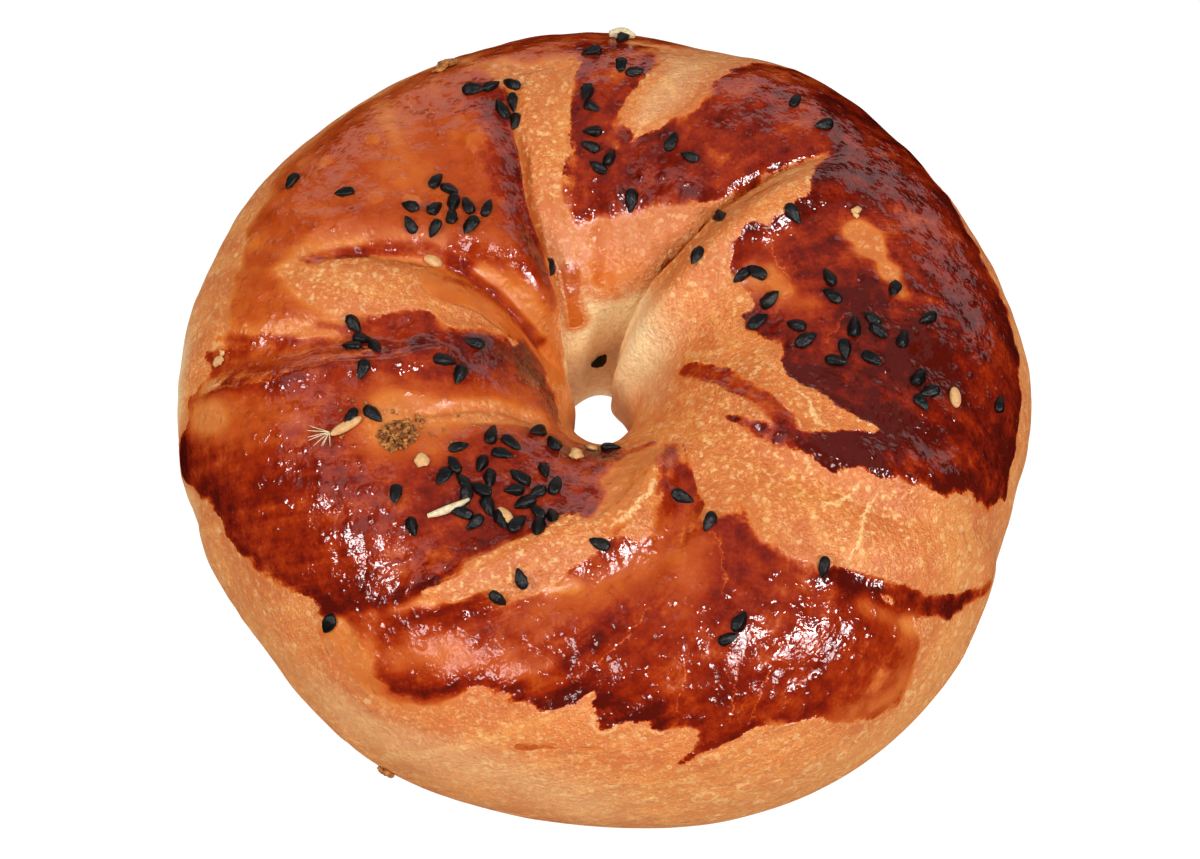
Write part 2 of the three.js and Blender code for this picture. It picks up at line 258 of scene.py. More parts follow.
# Thin tears in the skin: their paths
TEARS = [
    [(295, 92), (294, 82), (291, 72)],
    [(284, 64), (282, 52), (279, 38)],
    [(291, 58), (289, 46), (286, 32)],
    [(279, 76), (274, 66), (267, 54)],
    [(296, 50), (292, 42), (289, 30)],
    [(327, 67), (321, 67), (317, 64), (311, 63)],
    [(316, 79), (320, 75), (326, 72)],
    [(338, 98), (335, 93), (331, 89)],
    [(182, 32), (187, 46), (190, 60), (190, 74), (189, 84)],
    [(30, 100), (22, 102), (14, 100)],
    [(8, 86), (0, 90), (-7, 94)],
    [(294, 119), (287, 109), (279, 101), (274, 97)],
    [(122, 74), (126, 62), (124, 52)],
]
TEAR_REACH = 3.0  # millimetres beside a tear that are painted from it
TEAR_FADE = (1.2, 2.2)  # millimetres beside a tear, between which it loses its hold
TEAR_TAPER = 0.2  # share of a tear's length, at either end, over which it opens

# Round blisters in the skin: bearing, across, radius
BLISTERS = [
    (121, 88, 1.6), (144, 58, 1.3), (164, 70, 1.6), (162, 48, 1.6), (148, 82, 1.1), (144, 90, 1.1),
    (180, 41, 1.5), (239, 74, 1.6), (270, 38, 1.5), (283, 4, 1.4), (136, 64, 1.1), (285, 0, 0.9),
    (288, 6, 1.1), (292, 4, 0.9), (294, -2, 1.1), (297, 4, 1.3), (301, 4, 0.8), (304, 8, 1.0),
    (308, 7, 0.8), (290, -3, 0.8), (281, 14, 0.8), (276, 4, 1.0), (284, 22, 1.3), (312, 8, 1.1),
    (318, 15, 0.9), (324, 14, 1.0),
]
BLISTER_REACH = 2.0  # radii
STROKE_STEPS = 24
CRISP_BELOW = 1.5  # millimetres of softness under which a patch has a crisp edge
EDGE_LIMIT = 3.0
OUTLINE_STEP = 1.5  # degrees between the points of a patch's outline, at most
REACH_LIMIT = 12  # millimetres from a patch or a mark, beyond which nothing is painted from it
# How far the edges of patches, marks and bare places fray, against the fray of the dough
PATCH_FRAY = 0.85
MARK_FRAY = 0.45
BARE_FRAY = 0.6
MARK_CRISPNESS = 1.8
# Millimetres inside an edge between which wash sets in, or ends, at a bare place
CRISP_RISE = (-1.4, 0.4)
SOFT_START = -0.7
MARK_RISE = (-1.2, 0.4)
BARE_RISE = (-0.8, 0.8)
SOFT_EDGE_SHIFT = 1.5
DARKER_EDGE = (0.2, 1, 1.2)  # how much thicker a patch is near its edge, how far inside, how wide
LEAST_WASH = 0.15
COVERED_BELOW = 0.2  # thickness under which marks for more or less wash fade out

# Fray of the dough: height and size of its bumps, in millimetres, and the draw of their pattern
FRAY = [(0.9, 5.0, 1), (0.6, 1.8, 2)]
SPIKES = (2.2, 3.0, 7)
SPIKE_LEVEL = 0.25

# Relief of the skin, in the same way
SWELLS = [(0.32, 12, 3), (0.16, 5, 4)]
RIPPLES = (0.06, 2.6, 8)
STREAKS = (0.1, 2.2, 5)
CRACKS = (0.2, 1.7, 6)
MORE_RIPPLES = 5 / 3  # how much higher the ripples are in the wash, as a share
MORE_STREAKS = 1.4  # how much higher the streaks are by the hole, as a share
RIPPLE_RISE = (0.1, 0.4)  # thickness of wash between which the ripples grow
STREAK_RISE = (100, 130)  # angles across between which the streaks grow
WASH_HEIGHT = 0.14
WASH_RISE = (0.05, 0.3)  # thickness of wash between which it comes to its height
TEAR_HEIGHT = 0.25
TEAR_WIDTH = 0.8
TEAR_SINK = 1.6  # a tear stands up in bare skin and sinks in wash
BLISTER_HEIGHT = 0.2
BLISTER_RISE = (1.2, 0.6)  # radii at which a blister starts, and over which it rises
SEED_BED = (0.22, 1.5, 4)  # height, reach and end of the skin that rises round a seed
STREAK_STRETCH = (1, 1, 0.14)
CRACK_STRETCH = (1, 1, 0.45)
CALM = (0.2, 1.7)  # least calm, and how fast the streaks fade towards the hole

# Nigella seeds: bearing, across, number of seeds and reach of each cluster
SEED_CLUSTERS = [
    (110, 68, 4, 4.0), (111, 82, 2, 1.6), (150, 53, 1, 0), (150, 74, 1, 0), (123, 132, 1, 0),
    (138, 93, 2, 1.8), (147, 97, 5, 3.4), (142, 99, 2, 2.0), (137, 107, 3, 2.6), (185, 90, 3, 3.4),
    (190, 89, 2, 2.4), (186, 121, 1, 0), (199, 110, 2, 2.2), (205, 82, 2, 2.2), (87, 46, 1, 0),
    (92, 60, 1, 0), (86, 69, 2, 1.6), (93, 82, 2, 1.4), (93, 93, 2, 1.6), (91, 99, 2, 2.2),
    (69, 93, 2, 2.8), (80, 113, 1, 0), (54, 62, 1, 0), (47, 63, 1, 0), (95, 180, 1, 0),
    (57, 134, 1, 0), (43, 107, 1, 0), (32, 92, 1, 0), (38, 119, 1, 0), (23, 110, 2, 1.4),
    (8, 91, 2, 2.6), (7, 110, 2, 2.0), (358, 98, 2, 2.0), (350, 89, 2, 1.6), (8, 75, 1, 0),
    (358, 83, 3, 2.0), (357, 74, 1, 0), (2, 67, 1, 0), (350, 67, 1, 0), (351, 81, 1, 0),
    (346, 64, 2, 1.8), (352, 38, 1, 0), (227, 100, 2, 2.2), (234, 109, 3, 2.4), (230, 92, 2, 1.6),
    (236, 98, 4, 2.4), (239, 91, 4, 2.2), (247, 89, 2, 2.0), (253, 96, 4, 2.4), (247, 102, 3, 2.2),
    (251, 110, 2, 2.6), (243, 127, 2, 1.6), (274, 137, 1, 0), (224, 79, 1, 0), (231, 76, 1, 0),
    (251, 71, 1, 0), (254, 78, 1, 0), (228, 36, 1, 0), (269, 91, 1, 0), (292, 103, 1, 0),
    (295, 92, 1, 0), (309, 66, 1, 0), (291, 63, 2, 1.4),
]
SEED_GAP = 2.0
SEED_TRIES = 60
FIRST_DRAW = 20251
DRAW_FACTOR = 1664525
DRAW_STEP = 1013904223

# How thick the egg wash is, from 0 to 1, where it has each of its colours
WASH_STEPS = [
    ("wash_trace", 0.0), ("wash_thin", 0.16), ("wash_gold", 0.34), ("wash_brown", 0.54),
    ("wash_deep", 0.76), ("wash_thickest", 1.0),
]

# Creases, where one fold of dough overlaps another: the fold, how high its edge stands, how far the
# edge rounds over, and its side: 1 is left of the fold's path
CREASES = [
    ("right_lip", 2.3, 2.5, 1),
    ("left_lip", 2.0, 2.6, -1),
    ("left_groove", 0.8, 2.2, 1),
    ("left_tear", 0.5, 1.4, -1),
    ("front_seam", 0.4, 2.0, 1),
    ("left_band", 0.5, 2.0, -1),
]
CREASE_RISE = (-0.5, 0.7)  # millimetres beside the fold's path, between which the edge rises
CREASE_FOOT = (0.35, 0.4, 0.8)  # depth of the groove at its foot, how far out it is, how wide

# Fineness of the crust's mesh and of the seeds
CRUST_BEARINGS = 460
CRUST_ACROSS = 212
CRUST_TOP_ARC = (-30, 210)
CRUST_TOP_SHARE = 0.86
SEED_RINGS = 14
SEED_SIDES = 16
SEED_RIDGES = 0.17
SEED_WRINKLES = 0.16
SEED_SIZES = (0.86, 0.22)  # least size against the settings, and how much larger a seed can be
SEED_TILT = 0.5  # radians, from the lowest tilt to the highest
LUMP_RINGS = 9
LUMP_SIDES = 12
GRAIN_RINGS = 12
GRAIN_SIDES = 14
FLOW_RADIUS = 40
FLOW_PITCH = 0.45  # millimetres for each degree across
# How far the dough's streaks turn round the ring for each degree across the roll, every 30 degrees
TWISTS = [0.15, 0.2, 0.3, 0.3, 0.25, 0.1, 0.2, 0.4, 0.6, 0.65, 0.45, 0.2]

# Pale grains: bearing, across, length, width, and turn in degrees
GRAINS = [
    (246, 92, 3.0, 1.7, 40), (349, 55, 2.8, 1.6, 10), (155, 104, 2.6, 1.6, 70),
    (205.5, 78, 4.6, 1.4, 117),
]
# Pale flakes of crust: bearing, across, size and flatness
FLAKES = [
    (258, 125, 2.2, 0.6), (264, 136, 1.4, 0.6), (222, 90, 2.2, 0.25), (27, 76, 1.4, 0.6),
    (26, 77, 1.0, 0.6), (181, 41, 1.6, 0.4), (180, 43, 1.0, 0.4),
]
# Crumbs: bearing, across, number, reach, size, flatness and height of the heap of each group
CRUMBS = [
    (213, 89, 200, 2.3, 0.46, 0.8, 1.5), (211, 92, 16, 2.8, 0.7, 0.8, 0.5),
    (240, -18, 2, 1.0, 1.8, 0.5, 0), (115, 46, 3, 1.4, 2.0, 0.4, 0),
    (206, 84, 10, 4.0, 0.4, 0.8, 0), (250, 96, 6, 8.0, 0.4, 0.8, 0),
    (218, 104, 6, 4.0, 0.4, 0.8, 0),
]
CRUMB_RADIUS = 34  # of a common place on top of the ring
CRUMB_ROLL = 26
# Straws: path, thickness at the middle, and lift over the crust at both ends
STRAWS = [
    ([(232, 81), (234.5, 86), (237, 91)], 1.15, (0.4, 0.6)),
    ([(89, 43), (87, 42), (85, 43)], 1.7, (0.6, 0.6)),
]
# Bristles that fan out from one bit of chaff: where they start, and each one's end and lift there
BRISTLE_START = (205, 74)
BRISTLE_ENDS = [
    (202, 70, 0.9), (203, 69, 1.4), (204, 68, 1.0), (205, 68, 1.5), (206, 68, 0.8),
    (206.5, 69, 1.6), (207, 70, 1.0), (207.5, 70.5, 1.5), (208, 72, 0.9),
]
BRISTLE_LIFT = 0.6
BRISTLE_THICKNESS = 0.14
STRAW_STEPS = 10
STRAW_SIDES = 6
STRAW_ASIDE = (0.31, 0.17, 0.93)  # a direction that no straw runs in
STRAW_TAPER = (0.25, 0.12, 0.83)  # least thickness, and where in its swell a straw starts and runs

# Lights: name, direction, distance, size, watts, and what it gives: glow, gleam on gloss, or both
LIGHTS = [
    ("right_softbox", (0.55, -0.48, 0.68), 0.9, (0.2, 0.2), 3.6, "both"),
    ("left_softbox", (-0.66, -0.31, 0.69), 0.9, (0.18, 0.18), 2.8, "both"),
    ("high_left_sheet", (-0.57, 0.08, 0.83), 1.0, (0.5, 0.5), 0.7, "both"),
    ("ceiling_sheet", (0.1, 0.35, 0.93), 1.0, (1.3, 1.1), 1.0, "both"),
    ("back_sheet", (0.25, 1.0, 0.24), 0.95, (2.2, 0.5), 3.2, "both"),
    ("camera_fill", (0.0, -0.42, 0.9), 0.8, (0.8, 0.6), 2.5, "glow"),
    ("right_gleam", (0.54, -0.56, 0.62), 0.9, (0.32, 0.32), 4.2, "gleam"),
    ("front_left_gleam", (-0.42, -0.66, 0.62), 0.9, (0.24, 0.24), 2.1, "gleam"),
]
LIGHT_AIM = (0, 0, 0.02)  # metres

# Table top and backdrop, in metres, and how strongly they are lit
TABLE_SIZE = 5
TABLE_GLOW = 1.1
BACKDROP_HEIGHT = 3
BACKDROP_SIDES = 48

# Camera, as the photograph has it
CAMERA_AIM = (MIDDLE[0] - 0.41, MIDDLE[1], 19)
CAMERA_DROP = 2.1  # how far the aim lies below the middle of the picture's height
SENSOR_WIDTH = 36


# Places on the ring


def between(a, b, c, d, part):
    """A value between b and c, on a smooth curve through four values."""
    bend = 2 * a - 5 * b + 4 * c - d + part * (3 * (b - c) + d - a)
    return b + 0.5 * part * (c - a + part * bend)


def around(values, bearing):
    """A value at any bearing, on a smooth closed curve through evenly spaced values."""
    values = np.asarray(values, float)
    place = np.mod(bearing, 360) / 360 * len(values)
    whole = np.floor(place).astype(int)
    four = [values[(whole + k) % len(values)] for k in (-1, 0, 1, 2)]
    return between(*four, place - whole)


def signed_power(value, power):
    return np.sign(value) * np.abs(value) ** power


def smooth_step(value, low, high):
    share = np.clip((value - low) / (high - low), 0, 1)
    return share * share * (3 - 2 * share)


def end_taper(along, share):
    """A rise from 0 at either end of a line to 1, over a share of its length."""
    return smooth_step(np.minimum(along, 1 - along), 0, share)


def ring_point(bearing, across):
    """Points of the plain ring, before it has folds."""
    bearing, across = np.broadcast_arrays(np.asarray(bearing, float), np.asarray(across, float))
    outer = around(OUTER_RADII, bearing)
    hole = around(HOLE_RADII, bearing)
    cosine, sine = np.cos(across * DEGREE), np.sin(across * DEGREE)
    power = 2 / np.where(sine < 0, UNDERSIDE_POWER, TOP_POWER)
    crest = around(CREST_HEIGHTS, bearing) - WAIST_HEIGHT
    reach = np.where(sine < 0, WAIST_HEIGHT + BASE_TRIM, crest)
    radius = (outer + hole) / 2 + (outer - hole) / 2 * signed_power(cosine, power)
    height = WAIST_HEIGHT + reach * signed_power(sine, power)
    return np.stack([
        MIDDLE[0] + radius * np.cos(bearing * DEGREE),
        MIDDLE[1] + radius * np.sin(bearing * DEGREE),
        np.maximum(height, 0),
    ], axis=-1)


def unit(vectors):
    return vectors / np.maximum(np.linalg.norm(vectors, axis=-1, keepdims=True), 1e-12)


def outward(surface, bearing, across):
    """The way out of a surface, at right angles to it."""
    along = surface(bearing + PROBE, across) - surface(bearing - PROBE, across)
    over = surface(bearing, across + PROBE) - surface(bearing, across - PROBE)
    return unit(np.cross(along, over))


def smooth_path(path, steps):
    """Places along a smooth curve through a path's places."""
    places = np.array(path, float)
    places = np.vstack([2 * places[0] - places[1], places, 2 * places[-1] - places[-2]])
    share = np.linspace(0, len(path) - 1, steps + 1)
    whole = np.minimum(share.astype(int), len(path) - 2)
    four = [places[whole + k] for k in range(4)]
    return between(*four, (share - whole)[:, None])


def from_line(points, ways, line, limit):
    """How far points are from a line, up to a limit, how far along it, and the side: 1 is left."""
    gap = np.full(len(points), limit, float)
    along = np.zeros(len(points))
    side = np.ones(len(points))
    low, high = line.min(axis=0) - limit, line.max(axis=0) + limit
    near = np.flatnonzero(((points > low) & (points < high)).all(axis=1))
    close, close_ways = points[near], ways[near]
    least = np.full(len(near), limit**2, float)
    for i, (start, step) in enumerate(zip(line[:-1], np.diff(line, axis=0))):
        away = close - start
        part = np.clip(away @ step / max(step @ step, 1e-12), 0, 1)
        away -= part[:, None] * step
        square = np.einsum("ij,ij->i", away, away)
        won = square < least
        least[won] = square[won]
        along[near[won]] = (i + part[won]) / (len(line) - 1)
        left = np.cross(close_ways[won], step)
        side[near[won]] = np.sign(np.einsum("ij,ij->i", left, away[won]))
    gap[near] = np.sqrt(least)
    return gap, along, side


def fold_relief(points, ways, fold):
    """How far a fold moves points of the plain ring out."""
    depth, width, lip, path = fold
    line = ring_point(*smooth_path(path, FOLD_STEPS).T)
    gap, along, side = from_line(points, ways, line, 5 * width)
    gap = gap / width * side
    taper = end_taper(along, FOLD_TAPER)
    swell = np.exp(-(((gap - LIP_SHIFT * np.sign(lip)) / LIP_SPREAD) ** 2))
    return taper * (abs(lip) * swell - depth * np.exp(-(gap**2)))


def folded_point(bearing, across):
    """Points of the ring with its folds."""
    bearing, across = np.broadcast_arrays(np.asarray(bearing, float), np.asarray(across, float))
    shape = bearing.shape
    bearing, across = bearing.ravel(), across.ravel()
    points = ring_point(bearing, across)
    ways = outward(ring_point, bearing, across)
    relief = sum(fold_relief(points, ways, fold) for fold in FOLDS.values())
    relief = relief * smooth_step(np.sin(across * DEGREE), *UNDERSIDE_FADE)
    points = points + ways * relief[:, None]
    points[:, 2] = np.maximum(points[:, 2], 0)
    return points.reshape(shape + (3,))


def lattice(cells, seed):
    """A steady random value from 0 to 1 for each whole-numbered cell."""
    mixed = cells @ np.array([374761393, 668265263, 974634577]) + seed * 144665
    mixed = (mixed ^ (mixed >> 13)) * 1274126177 & 0xFFFFFFFF
    return ((mixed ^ (mixed >> 16)) & 0xFFFF) / 0xFFFF


def ripple(points, size, seed):
    """Smooth noise from -1 to 1 with bumps of a size."""
    places = points / size
    whole = np.floor(places).astype(np.int64)
    part = places - whole
    part = part * part * (3 - 2 * part)
    total = 0
    for corner in np.ndindex(2, 2, 2):
        weight = np.prod(np.where(corner, part, 1 - part), axis=-1)
        total = total + weight * lattice(whole + np.array(corner), seed)
    return 2 * total - 1


def bumps(points, kind):
    """Ripples of a kind, given by their height, their size and the draw of their pattern."""
    height, size, seed = kind
    return height * ripple(points, size, seed)


def within(outline, bearing, across):
    """Whether places lie inside an outline."""
    inside = np.zeros(len(bearing), bool)
    for (b0, a0), (b1, a1) in zip(outline, np.roll(outline, -1, axis=0)):
        crosses = (a0 > across) != (a1 > across)
        meets = b0 + (across - a0) / np.where(a1 == a0, 1e-9, a1 - a0) * (b1 - b0)
        inside ^= crosses & (bearing < meets)
    return inside


def patch_reach(points, ways, bearing, across, outline):
    """How far inside a patch points lie, in millimetres, or outside where it is negative."""
    outline = np.array(outline, float)
    closed = np.vstack([outline, outline[:1]])
    pieces = [
        np.linspace(a, b, max(2, int(np.abs(b - a).max() / OUTLINE_STEP) + 1))[:-1]
        for a, b in zip(closed[:-1], closed[1:])
    ]
    line = np.vstack(pieces + [closed[:1]])
    centre = outline[:, 0].mean()
    turned = centre + np.mod(bearing - centre + 180, 360) - 180
    gap, _, _ = from_line(points, ways, ring_point(*line.T), REACH_LIMIT)
    return np.where(within(outline, turned, across), gap, -gap)


def stroke_gap(points, ways, path, limit):
    gap, _, _ = from_line(points, ways, ring_point(*smooth_path(path, STROKE_STEPS).T), limit)
    return gap


def stroke_sum(points, ways, strokes):
    """The strength of a group of brush marks, soft at their edges."""
    total = np.zeros(len(points))
    for reach, strength, path in strokes:
        gap = stroke_gap(points, ways, path, 3 * reach)
        total += strength * np.exp(-((gap / reach) ** 2)) * (gap < 3 * reach)
    return total


def egg_wash(points, ways, bearing, across, fray):
    """How thick the wash is, from 0 to 1, and how far inside its edges points lie."""
    thick = np.zeros(len(points))
    edge = np.full(len(points), -EDGE_LIMIT)
    thicker, inside, wide = DARKER_EDGE
    for shade, soft, outline in PATCHES.values():
        own = patch_reach(points, ways, bearing, across, outline) + PATCH_FRAY * fray
        dark_edge = 1 + thicker * np.exp(-(((own - inside) / wide) ** 2))
        crisp = soft < CRISP_BELOW
        start, end = CRISP_RISE if crisp else (SOFT_START, soft)
        thick = np.maximum(thick, shade * dark_edge * smooth_step(own, start, end))
        edge = np.maximum(edge, own if crisp else own + SOFT_EDGE_SHIFT)
    for half, shade, path in WASHED:
        own = half - stroke_gap(points, ways, path, REACH_LIMIT) + MARK_FRAY * fray
        thick = np.maximum(thick, shade * smooth_step(own, *MARK_RISE))
        edge = np.maximum(edge, MARK_CRISPNESS * own)
    covered = smooth_step(thick, 0, COVERED_BELOW)
    thick += covered * (stroke_sum(points, ways, DEEPER) - stroke_sum(points, ways, THINNER))
    thick = np.maximum(thick, LEAST_WASH * covered)
    for half, strength, path in BARE:
        own = stroke_gap(points, ways, path, REACH_LIMIT) - half + BARE_FRAY * fray
        thick *= 1 - strength * (1 - smooth_step(own, *BARE_RISE))
    return np.clip(thick, 0, 1), np.clip(edge, -EDGE_LIMIT, EDGE_LIMIT)


def tear_values(points, ways):
    """How far points are from the nearest tear, negative on its right, and how open it is there."""
    gap = np.full(len(points), TEAR_REACH)
    opened = np.zeros(len(points))
    for path in TEARS:
        line = ring_point(*smooth_path(path, STROKE_STEPS).T)
        own, along, side = from_line(points, ways, line, TEAR_REACH)
        won = own < np.abs(gap)
        gap[won] = (own * side)[won]
        hold = end_taper(along, TEAR_TAPER) * (1 - smooth_step(own, *TEAR_FADE))
        opened[won] = hold[won]
    return gap, opened


def blister_reach(points):
    """How far points are from the middle of the nearest blister, in its radii."""
    places = np.array(BLISTERS)
    reach = np.full(len(points), BLISTER_REACH)
    for spot, radius in zip(ring_point(*places[:, :2].T), places[:, 2]):
        reach = np.minimum(reach, np.linalg.norm(points - spot, axis=1) / radius)
    return reach


def crease_relief(points, ways, crease):
    """How far a crease moves points out: a sharp edge that rounds over on one side."""
    name, high, round_over, side = crease
    line = ring_point(*smooth_path(FOLDS[name][3], FOLD_STEPS).T)
    gap, along, own_side = from_line(points, ways, line, 4 * round_over)
    gap = gap * own_side * side
    taper = end_taper(along, FOLD_TAPER)
    over = smooth_step(gap, *CREASE_RISE) * np.exp(-np.maximum(gap, 0) / round_over)
    deep, out, wide = CREASE_FOOT
    under = np.exp(-((gap + out) / wide) ** 2) * deep
    return taper * high * (over - under)


def draws(start):
    """Numbers from 0 to 1, the same ones each time."""
    state = start
    while True:
        state = (state * DRAW_FACTOR + DRAW_STEP) % 2**32
        yield state / 2**32


def seed_places():
    """Every nigella seed's bearing, angle across and turn, as the solid has them."""
    draw = draws(FIRST_DRAW)
    taken, spots = [], []
    for bearing, across, count, reach in SEED_CLUSTERS:
        middle = ring_point(bearing, across)
        radius = math.hypot(middle[0] - MIDDLE[0], middle[1] - MIDDLE[1])
        roll = (around(OUTER_RADII, bearing) - around(HOLE_RADII, bearing)) / 2
        wanted = count
        for _ in range(SEED_TRIES):
            if not wanted:
                break
            turn, away = 2 * math.pi * next(draw), reach * math.sqrt(next(draw))
            place = (
                bearing + away * math.cos(turn) / (radius * DEGREE),
                across + away * math.sin(turn) / (roll * DEGREE),
                2 * math.pi * next(draw),
            )
            spot = ring_point(*place[:2])
            if all(np.linalg.norm(spot - other) > SEED_GAP for other in spots):
                spots.append(spot)
                taken.append(place)
                wanted -= 1
    return taken


def spindle(rings, sides, profile):
    """Points and faces of a closed shape along Y, from -0.5 to 0.5, as wide as a profile says."""
    shares = np.arange(1, rings) / rings
    turns = 2 * math.pi * np.arange(sides) / sides
    along = 0.5 - 0.5 * np.cos(math.pi * shares)
    wide = np.array([profile(s) for s in along])
    points = np.stack([
        np.outer(wide, np.cos(turns)),
        np.repeat(along[:, None] - 0.5, sides, axis=1),
        np.outer(wide, np.sin(turns)),
    ], axis=-1).reshape(-1, 3)
    points = np.vstack([points, [(0, -0.5, 0), (0, 0.5, 0)]])
    first, last = len(points) - 2, len(points) - 1
    faces = []
    for j in range(sides):
        k = (j + 1) % sides
        faces.append((first, j, k))
        for i in range(rings - 2):
            row = i * sides
            faces.append((row + k, row + j, row + sides + j))
            faces.append((row + k, row + sides + j, row + sides + k))
        row = (rings - 2) * sides
        faces.append((last, row + k, row + j))
    return points, np.array(faces)


def oval_width(share):
    """Half width of a round shape, at a share of its length."""
    return math.sqrt(share * (1 - share))


def drop_width(share):
    """Half width of a drop, which is blunt at one end, at a share of its length."""
    return share**0.5 * (1 - share) ** 0.72 * 1.12


def laid(points, spot, way, turn, lift, tilt=0.0):
    """Points of a small thing, in millimetres, laid at a spot of the crust with this way out."""
    lay = Vector((0, 0, 1)).rotation_difference(Vector(way)).to_matrix()
    spin = np.array([
        [math.cos(turn), -math.sin(turn), 0],
        [math.sin(turn), math.cos(turn), 0],
        [0, 0, 1],
    ])
    tip = np.array([
        [1, 0, 0],
        [0, math.cos(tilt), -math.sin(tilt)],
        [0, math.sin(tilt), math.cos(tilt)],
    ])
    return points @ (np.array(lay) @ spin @ tip).T + spot + way * lift


def mesh_object(name, points, faces, material):
    """An object in the scene, from points in metres and faces."""
    mesh = bpy.data.meshes.new(name)
    mesh.from_pydata(points, [], faces)
    mesh.materials.append(material)
    made = bpy.data.objects.new(name, mesh)
    bpy.context.scene.collection.objects.link(made)
    return made


def new_piece(name, points, faces, material, slot):
    """A smooth piece from points in millimetres, riding on the bread's body."""
    metres = (np.asarray(points) * MM).tolist()
    piece = mesh_object(name, metres, np.asarray(faces).tolist(), material)
    piece.data.shade_smooth()
    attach(piece, BODY)
    return piece


def joined(shapes):
    """One set of points and faces from many."""
    points, faces, start = [], [], 0
    for own_points, own_faces in shapes:
        points.append(own_points)
        faces.append(np.asarray(own_faces) + start)
        start += len(own_points)
    return np.vstack(points), np.vstack(faces)


class Wire:
    """A socket of a node tree that takes part in Python expressions."""

    def __init__(self, tree, socket=None):
        self.tree = tree
        self.socket = socket

    def node(self, kind, settings, values, output=0):
        """A node of a type, with its settings and the values or wires of its sockets."""
        made = self.tree.nodes.new(kind)
        for name, value in settings.items():
            if name == "stops":
                self.set_stops(made.color_ramp, value)
            else:
                setattr(made, name, value)
        for key, value in values.items():
            if isinstance(value, Wire):
                self.tree.links.new(value.socket, made.inputs[key])
            else:
                made.inputs[key].default_value = value
        return Wire(self.tree, made.outputs[output])

    @staticmethod
    def set_stops(ramp, stops):
        while len(ramp.elements) < len(stops):
            ramp.elements.new(1.0)
        for element, (place, colour) in zip(ramp.elements, stops):
            element.position = place
            element.color = (*colour, 1)

    def maths(self, operation, first, second):
        return self.node("ShaderNodeMath", {"operation": operation}, {0: first, 1: second})

    def __add__(self, other):
        return self.maths("ADD", self, other)

    __radd__ = __add__

    def __sub__(self, other):
        return self.maths("SUBTRACT", self, other)

    def __rsub__(self, other):
        return self.maths("SUBTRACT", other, self)

    def __mul__(self, other):
        return self.maths("MULTIPLY", self, other)

    __rmul__ = __mul__

    def __abs__(self):
        return self.maths("ABSOLUTE", self, 0)

    def step(self, low, high):
        """A smooth rise from 0 to 1 between two values."""
        return self.node(
            "ShaderNodeMapRange", {"interpolation_type": "SMOOTHSTEP"}, {0: self, 1: low, 2: high})

    def mix(self, first, second):
        """A blend of two colours: the first where this is 0, the second where it is 1."""
        pair = [value if isinstance(value, Wire) else (*value, 1) for value in (first, second)]
        values = {0: self, 6: pair[0], 7: pair[1]}
        return self.node("ShaderNodeMix", {"data_type": "RGBA"}, values, 2)

    def scaled(self, factors):
        return self.node("ShaderNodeVectorMath", {"operation": "MULTIPLY"}, {0: self, 1: factors})

    def grain(self, size, detail, roughness=0.5):
        """Soft noise from 0 to 1 with features of a size, at these coordinates."""
        return self.node("ShaderNodeTexNoise", {}, {
            "Vector": self, "Scale": 1 / size, "Detail": detail, "Roughness": roughness})

    def cells(self, size):
        """The distance from the middle of cells of a size, at these coordinates."""
        return self.node("ShaderNodeTexVoronoi", {}, {"Vector": self, "Scale": 1 / size})

    def attribute(self, name, output=2):
        return self.node("ShaderNodeAttribute", {"attribute_name": name}, {}, output)


def new_material(name):
    """A material with an empty node tree, and a wire to start its expressions from."""
    material = bpy.data.materials.new(name)
    material.use_nodes = True
    material.node_tree.nodes.clear()
    return material, Wire(material.node_tree)


def set_surface(start, values):
    """Ends a material in one Principled shader."""
    shader = start.node("ShaderNodeBsdfPrincipled", {}, values)
    output = start.tree.nodes.new("ShaderNodeOutputMaterial")
    start.tree.links.new(shader.socket, output.inputs["Surface"])


def millimetres(start):
    """The place on the object, in millimetres."""
    return start.node("ShaderNodeTexCoord", {}, {}, 3).scaled((1 / MM, 1 / MM, 1 / MM))


# Materials


